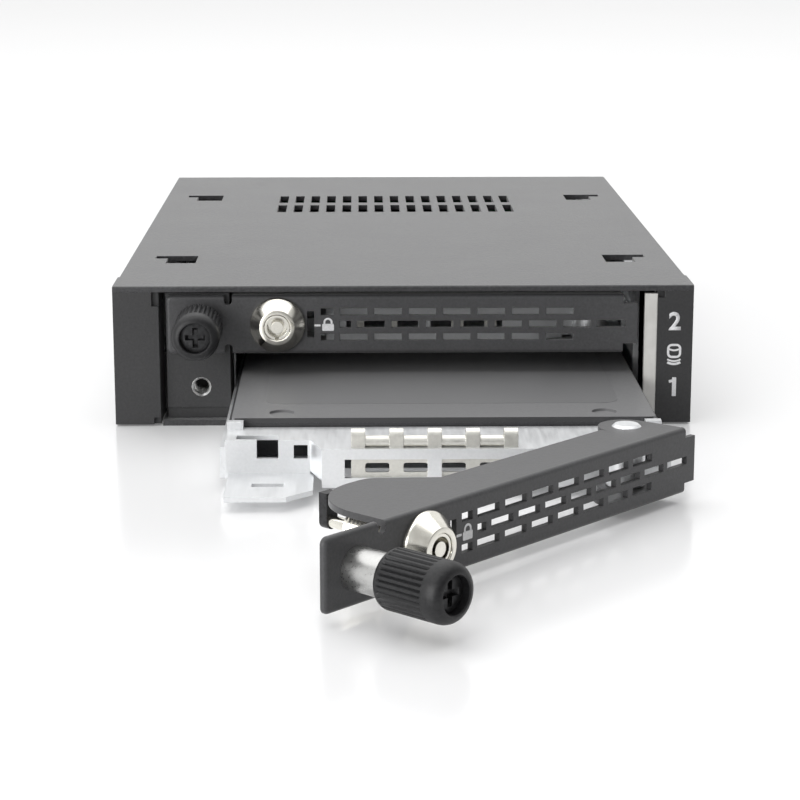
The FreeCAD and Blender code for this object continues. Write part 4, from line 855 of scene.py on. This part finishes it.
def knurled_knob():
    """Knob in millimetres: axis along Y, back at y 0 and face at -KNOB_LENGTH."""
    steps = KNURL_TEETH * len(KNURL_DEPTH)
    shape = turned(
        [
            (SHANK_RADIUS, -SOCKET_DEPTH - SOCKET_PLAY),
            (SOCKET_RADIUS, -SOCKET_DEPTH - SOCKET_PLAY),
            (SOCKET_RADIUS, 0),
            *reversed(rounded_edge(KNOB_RADIUS, -BACK_LENGTH, BACK_ROUND, BACK_LENGTH)),
            (KNOB_RADIUS, -KNURL[0]),
            (KNOB_RADIUS, -KNURL[1]),
            (KNOB_RADIUS, -KNURL[1] - KNURL_RUNOUT),
            *rounded_edge(KNOB_RADIUS, NOSE_LENGTH - KNOB_LENGTH, NOSE_ROUND, -NOSE_LENGTH),
            (RECESS_RADIUS + RECESS_EDGE, -KNOB_LENGTH),
            (RECESS_RADIUS, RECESS_EDGE - KNOB_LENGTH),
            (RECESS_RADIUS, RECESS_DEPTH - KNOB_LENGTH),
            (SHANK_RADIUS, RECESS_DEPTH - KNOB_LENGTH),
        ],
        steps,
    )
    grooves = {depth: [] for depth in KNURL_DEPTH if depth}
    for corner in shape.verts:
        on_band = any(abs(corner.co.y + place) < 0.01 for place in KNURL)
        if on_band and math.hypot(corner.co.x, corner.co.z) > KNOB_RADIUS - 0.01:
            step = round(math.atan2(corner.co.z, corner.co.x) / (2 * math.pi) * steps)
            depth = KNURL_DEPTH[step % len(KNURL_DEPTH)]
            if depth:
                grooves[depth].append(corner)
    for depth, corners in grooves.items():
        inwards = 1 - depth / KNOB_RADIUS
        bmesh.ops.scale(shape, vec=(inwards, 1, inwards), verts=corners)
    bmesh.ops.recalc_face_normals(shape, faces=shape.faces)
    return shape


SCREW_HEAD_RADIUS = 2.55
SCREW_HEAD_HEIGHT = 1.0
SCREW_TIP = {"upper": 4.2, "lower": -0.6}
SCREW_RIDGE = 0.14
SCREW_POINT = 0.4
SCREW_THREADED = 5.6
SCREW_TURNS = 10
OVERLAP = 0.02  # sinks the ridge of the thread a little into the shank

for bay in BAYS:
    on_axis = on_cover(bay) @ Matrix.Translation((SCREW_X, 0, 0))
    mesh = mesh_from(f"{bay}_knurled_knob", knurled_knob(),
                     on_axis @ Matrix.Translation((0, -KNOB_BACK[bay], 0)), smooth=28)
    finish_piece(f"{bay}_knurled_knob", mesh, knob_black.material, f"{bay}_knob",
                 [f"{bay}_thumb_knob"])

    seat = RECESS_DEPTH - KNOB_BACK[bay] - KNOB_LENGTH
    head = cross_head(SCREW_HEAD_RADIUS, SCREW_HEAD_HEIGHT, span=3.5, arm=0.9, sink=0.8)
    head = moved(head, Matrix.Translation((0, seat - SCREW_HEAD_HEIGHT, 0)) @ FRONT_FACING)
    core = SHANK_RADIUS - SCREW_RIDGE
    top = seat - 0.1 * SCREW_HEAD_HEIGHT
    tip = SCREW_TIP[bay]
    side = [(0, top), (core, top), (core, tip - SCREW_POINT), (core - 0.75 * SCREW_POINT, tip), (0, tip)]
    shank = turned(side, 32, closed=False)
    winding = thread(core - OVERLAP, SCREW_RIDGE + OVERLAP, SCREW_PITCH, tip - SCREW_THREADED, SCREW_TURNS)
    screw = gather(f"{bay}_cross_screw", [moved(shape, on_axis) for shape in (head, shank, winding)], 35)
    finish_piece(f"{bay}_cross_screw", screw, blacked.material, f"{bay}_knob",
                 [f"{bay}_knob_screw"])


# The springs that push the knobs out: round steel wire wound into an open coil.
# Each stands on the floor of the sleeve and presses on the knob's washer. The one that is let out at rest
# is drawn at its full length, with a mesh of its own.

SPRING_WIRE = 0.4
SPRING_RADIUS = 1.65
SPRING_TURNS = 4
SPRING_FOOT = -1.2
WASHER_HEIGHT = 1.2


def coil(radius, wire, length, turns):
    """Spring in millimetres that winds along the Y axis from y 0 to its length."""
    steps = 24
    shape = bmesh.new()
    start = Matrix.Translation((radius, wire / 2, 0))
    bmesh.ops.create_circle(shape, radius=wire / 2, segments=8, matrix=start)
    bmesh.ops.spin(
        shape, geom=shape.verts[:] + shape.edges[:], cent=(0, 0, 0), axis=(0, 1, 0),
        dvec=(0, (length - wire) / (steps * turns), 0), angle=2 * math.pi * turns, steps=steps * turns,
    )
    bmesh.ops.holes_fill(shape, edges=[edge for edge in shape.edges if edge.is_boundary], sides=0)
    bmesh.ops.recalc_face_normals(shape, faces=shape.faces)
    return shape


washer_back = {bay: WASHER_HEIGHT - SOCKET_DEPTH - KNOB_BACK[bay] for bay in KNOB_BACK}
pressed_length = SPRING_FOOT - washer_back["upper"]
for bay in BAYS:
    length = SPRING_FOOT - washer_back[bay]
    place = on_cover(bay) @ Matrix.Translation((SCREW_X, washer_back[bay], 0))
    wound = coil(SPRING_RADIUS, SPRING_WIRE, length, SPRING_TURNS)
    mesh = mesh_from(f"{bay}_coil_spring", wound, place, smooth=60)
    spring = finish_piece(f"{bay}_coil_spring", mesh, turned_steel, f"{bay}_push",
                          [f"{bay}_knob_spring"])
    if length > pressed_length:
        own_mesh(spring)


# The table and the light: a white glossy table in a white surround, dimmer at the front right.
# One very large soft lamp hangs above, and a smaller one stands low in front on the left.

TABLE_REACH = 6.0
TABLE_GLOW = 0.12
SURROUND = 0.5
DIM_SIDE = Vector((0.7, -0.7, 0.15)).normalized()
DIMMED = 0.3


def ray(nodes, kind):
    """One for the rays of a kind and nought for others."""
    return nodes.node("ShaderNodeLightPath", {}, {}, f"Is {kind} Ray")


table = bmesh.new()
bmesh.ops.create_grid(table, x_segments=1, y_segments=1, size=TABLE_REACH)
table_mesh = mesh_from("table", table, Matrix.Translation((0, 0, cad_box[0][2])))
table_top = bpy.data.objects.new("table", table_mesh)
bpy.context.scene.collection.objects.link(table_top)
gloss = Finish("white_table", Roughness=0.18, Emission_Strength=TABLE_GLOW)
gloss.feed("Base Color", gloss.between(gloss.noise(0.5), (0.93, 0.93, 0.935), (0.95, 0.95, 0.955)))
mirrored = ray(gloss, "Glossy").most(ray(gloss, "Transmission"))
gloss.feed("Emission Color", ray(gloss, "Camera").most(mirrored))
table_top.data.materials.append(gloss.material)

surround = bpy.data.worlds.new("surround")
surround.use_nodes = True
bpy.context.scene.world = surround
sky = Nodes(surround.node_tree)
mirrored = ray(sky, "Glossy").most(ray(sky, "Transmission"))
way = sky.node("ShaderNodeTexCoord", {}, {}, "Generated")
aside = sky.node("ShaderNodeVectorMath", {"operation": "DOT_PRODUCT"}, {0: way, 1: DIM_SIDE}, "Value")
dimming = {"Value": aside, "From Min": 0.1, "From Max": 0.9, "To Min": 1.0, "To Max": DIMMED}
light = (SURROUND + (1 - SURROUND) * mirrored) * sky.node("ShaderNodeMapRange", {}, dimming)
background = surround.node_tree.nodes["Background"]
background.inputs["Color"].default_value = (1, 1, 1, 1)
sky.plug(background.inputs["Strength"], light.most(ray(sky, "Camera")))

LAMP_TARGET = Vector((0, -0.06, 0))

for name, size, power, place in (
    ("top_softbox", (1.6, 1.4), 7.8, (-0.1, 0.05, 0.9)),
    ("front_softbox", (0.7, 0.5), 5.1, (-0.6, -0.8, 0.23)),
):
    lamp = bpy.data.lights.new(name, "AREA")
    lamp.shape = "RECTANGLE"
    lamp.size, lamp.size_y = size
    lamp.energy = power
    holder = bpy.data.objects.new(name, lamp)
    holder.location = place
    holder.rotation_euler = (LAMP_TARGET - Vector(place)).to_track_quat("-Z", "Y").to_euler()
    bpy.context.scene.collection.objects.link(holder)


# The camera stands in front of the rack and looks slightly down at it.
# Its lens and place were found from the corners of the rack in the photograph.

CAMERA_PLACE = Vector((-7.57, -458.3, 94.4))
CAMERA_DOWN = 13.12
CAMERA_RIGHT = 1.03
camera = bpy.data.cameras.new("camera")
camera.sensor_width = 36.0
camera.lens = 100.9
camera.clip_start = 0.01
camera.clip_end = 20.0
camera_holder = bpy.data.objects.new("camera", camera)
camera_holder.location = CAMERA_PLACE * MM
camera_holder.rotation_euler = (math.radians(90 - CAMERA_DOWN), 0, math.radians(-CAMERA_RIGHT))
bpy.context.scene.collection.objects.link(camera_holder)
bpy.context.scene.camera = camera_holder
bpy.context.scene.view_settings.view_transform = "Standard"
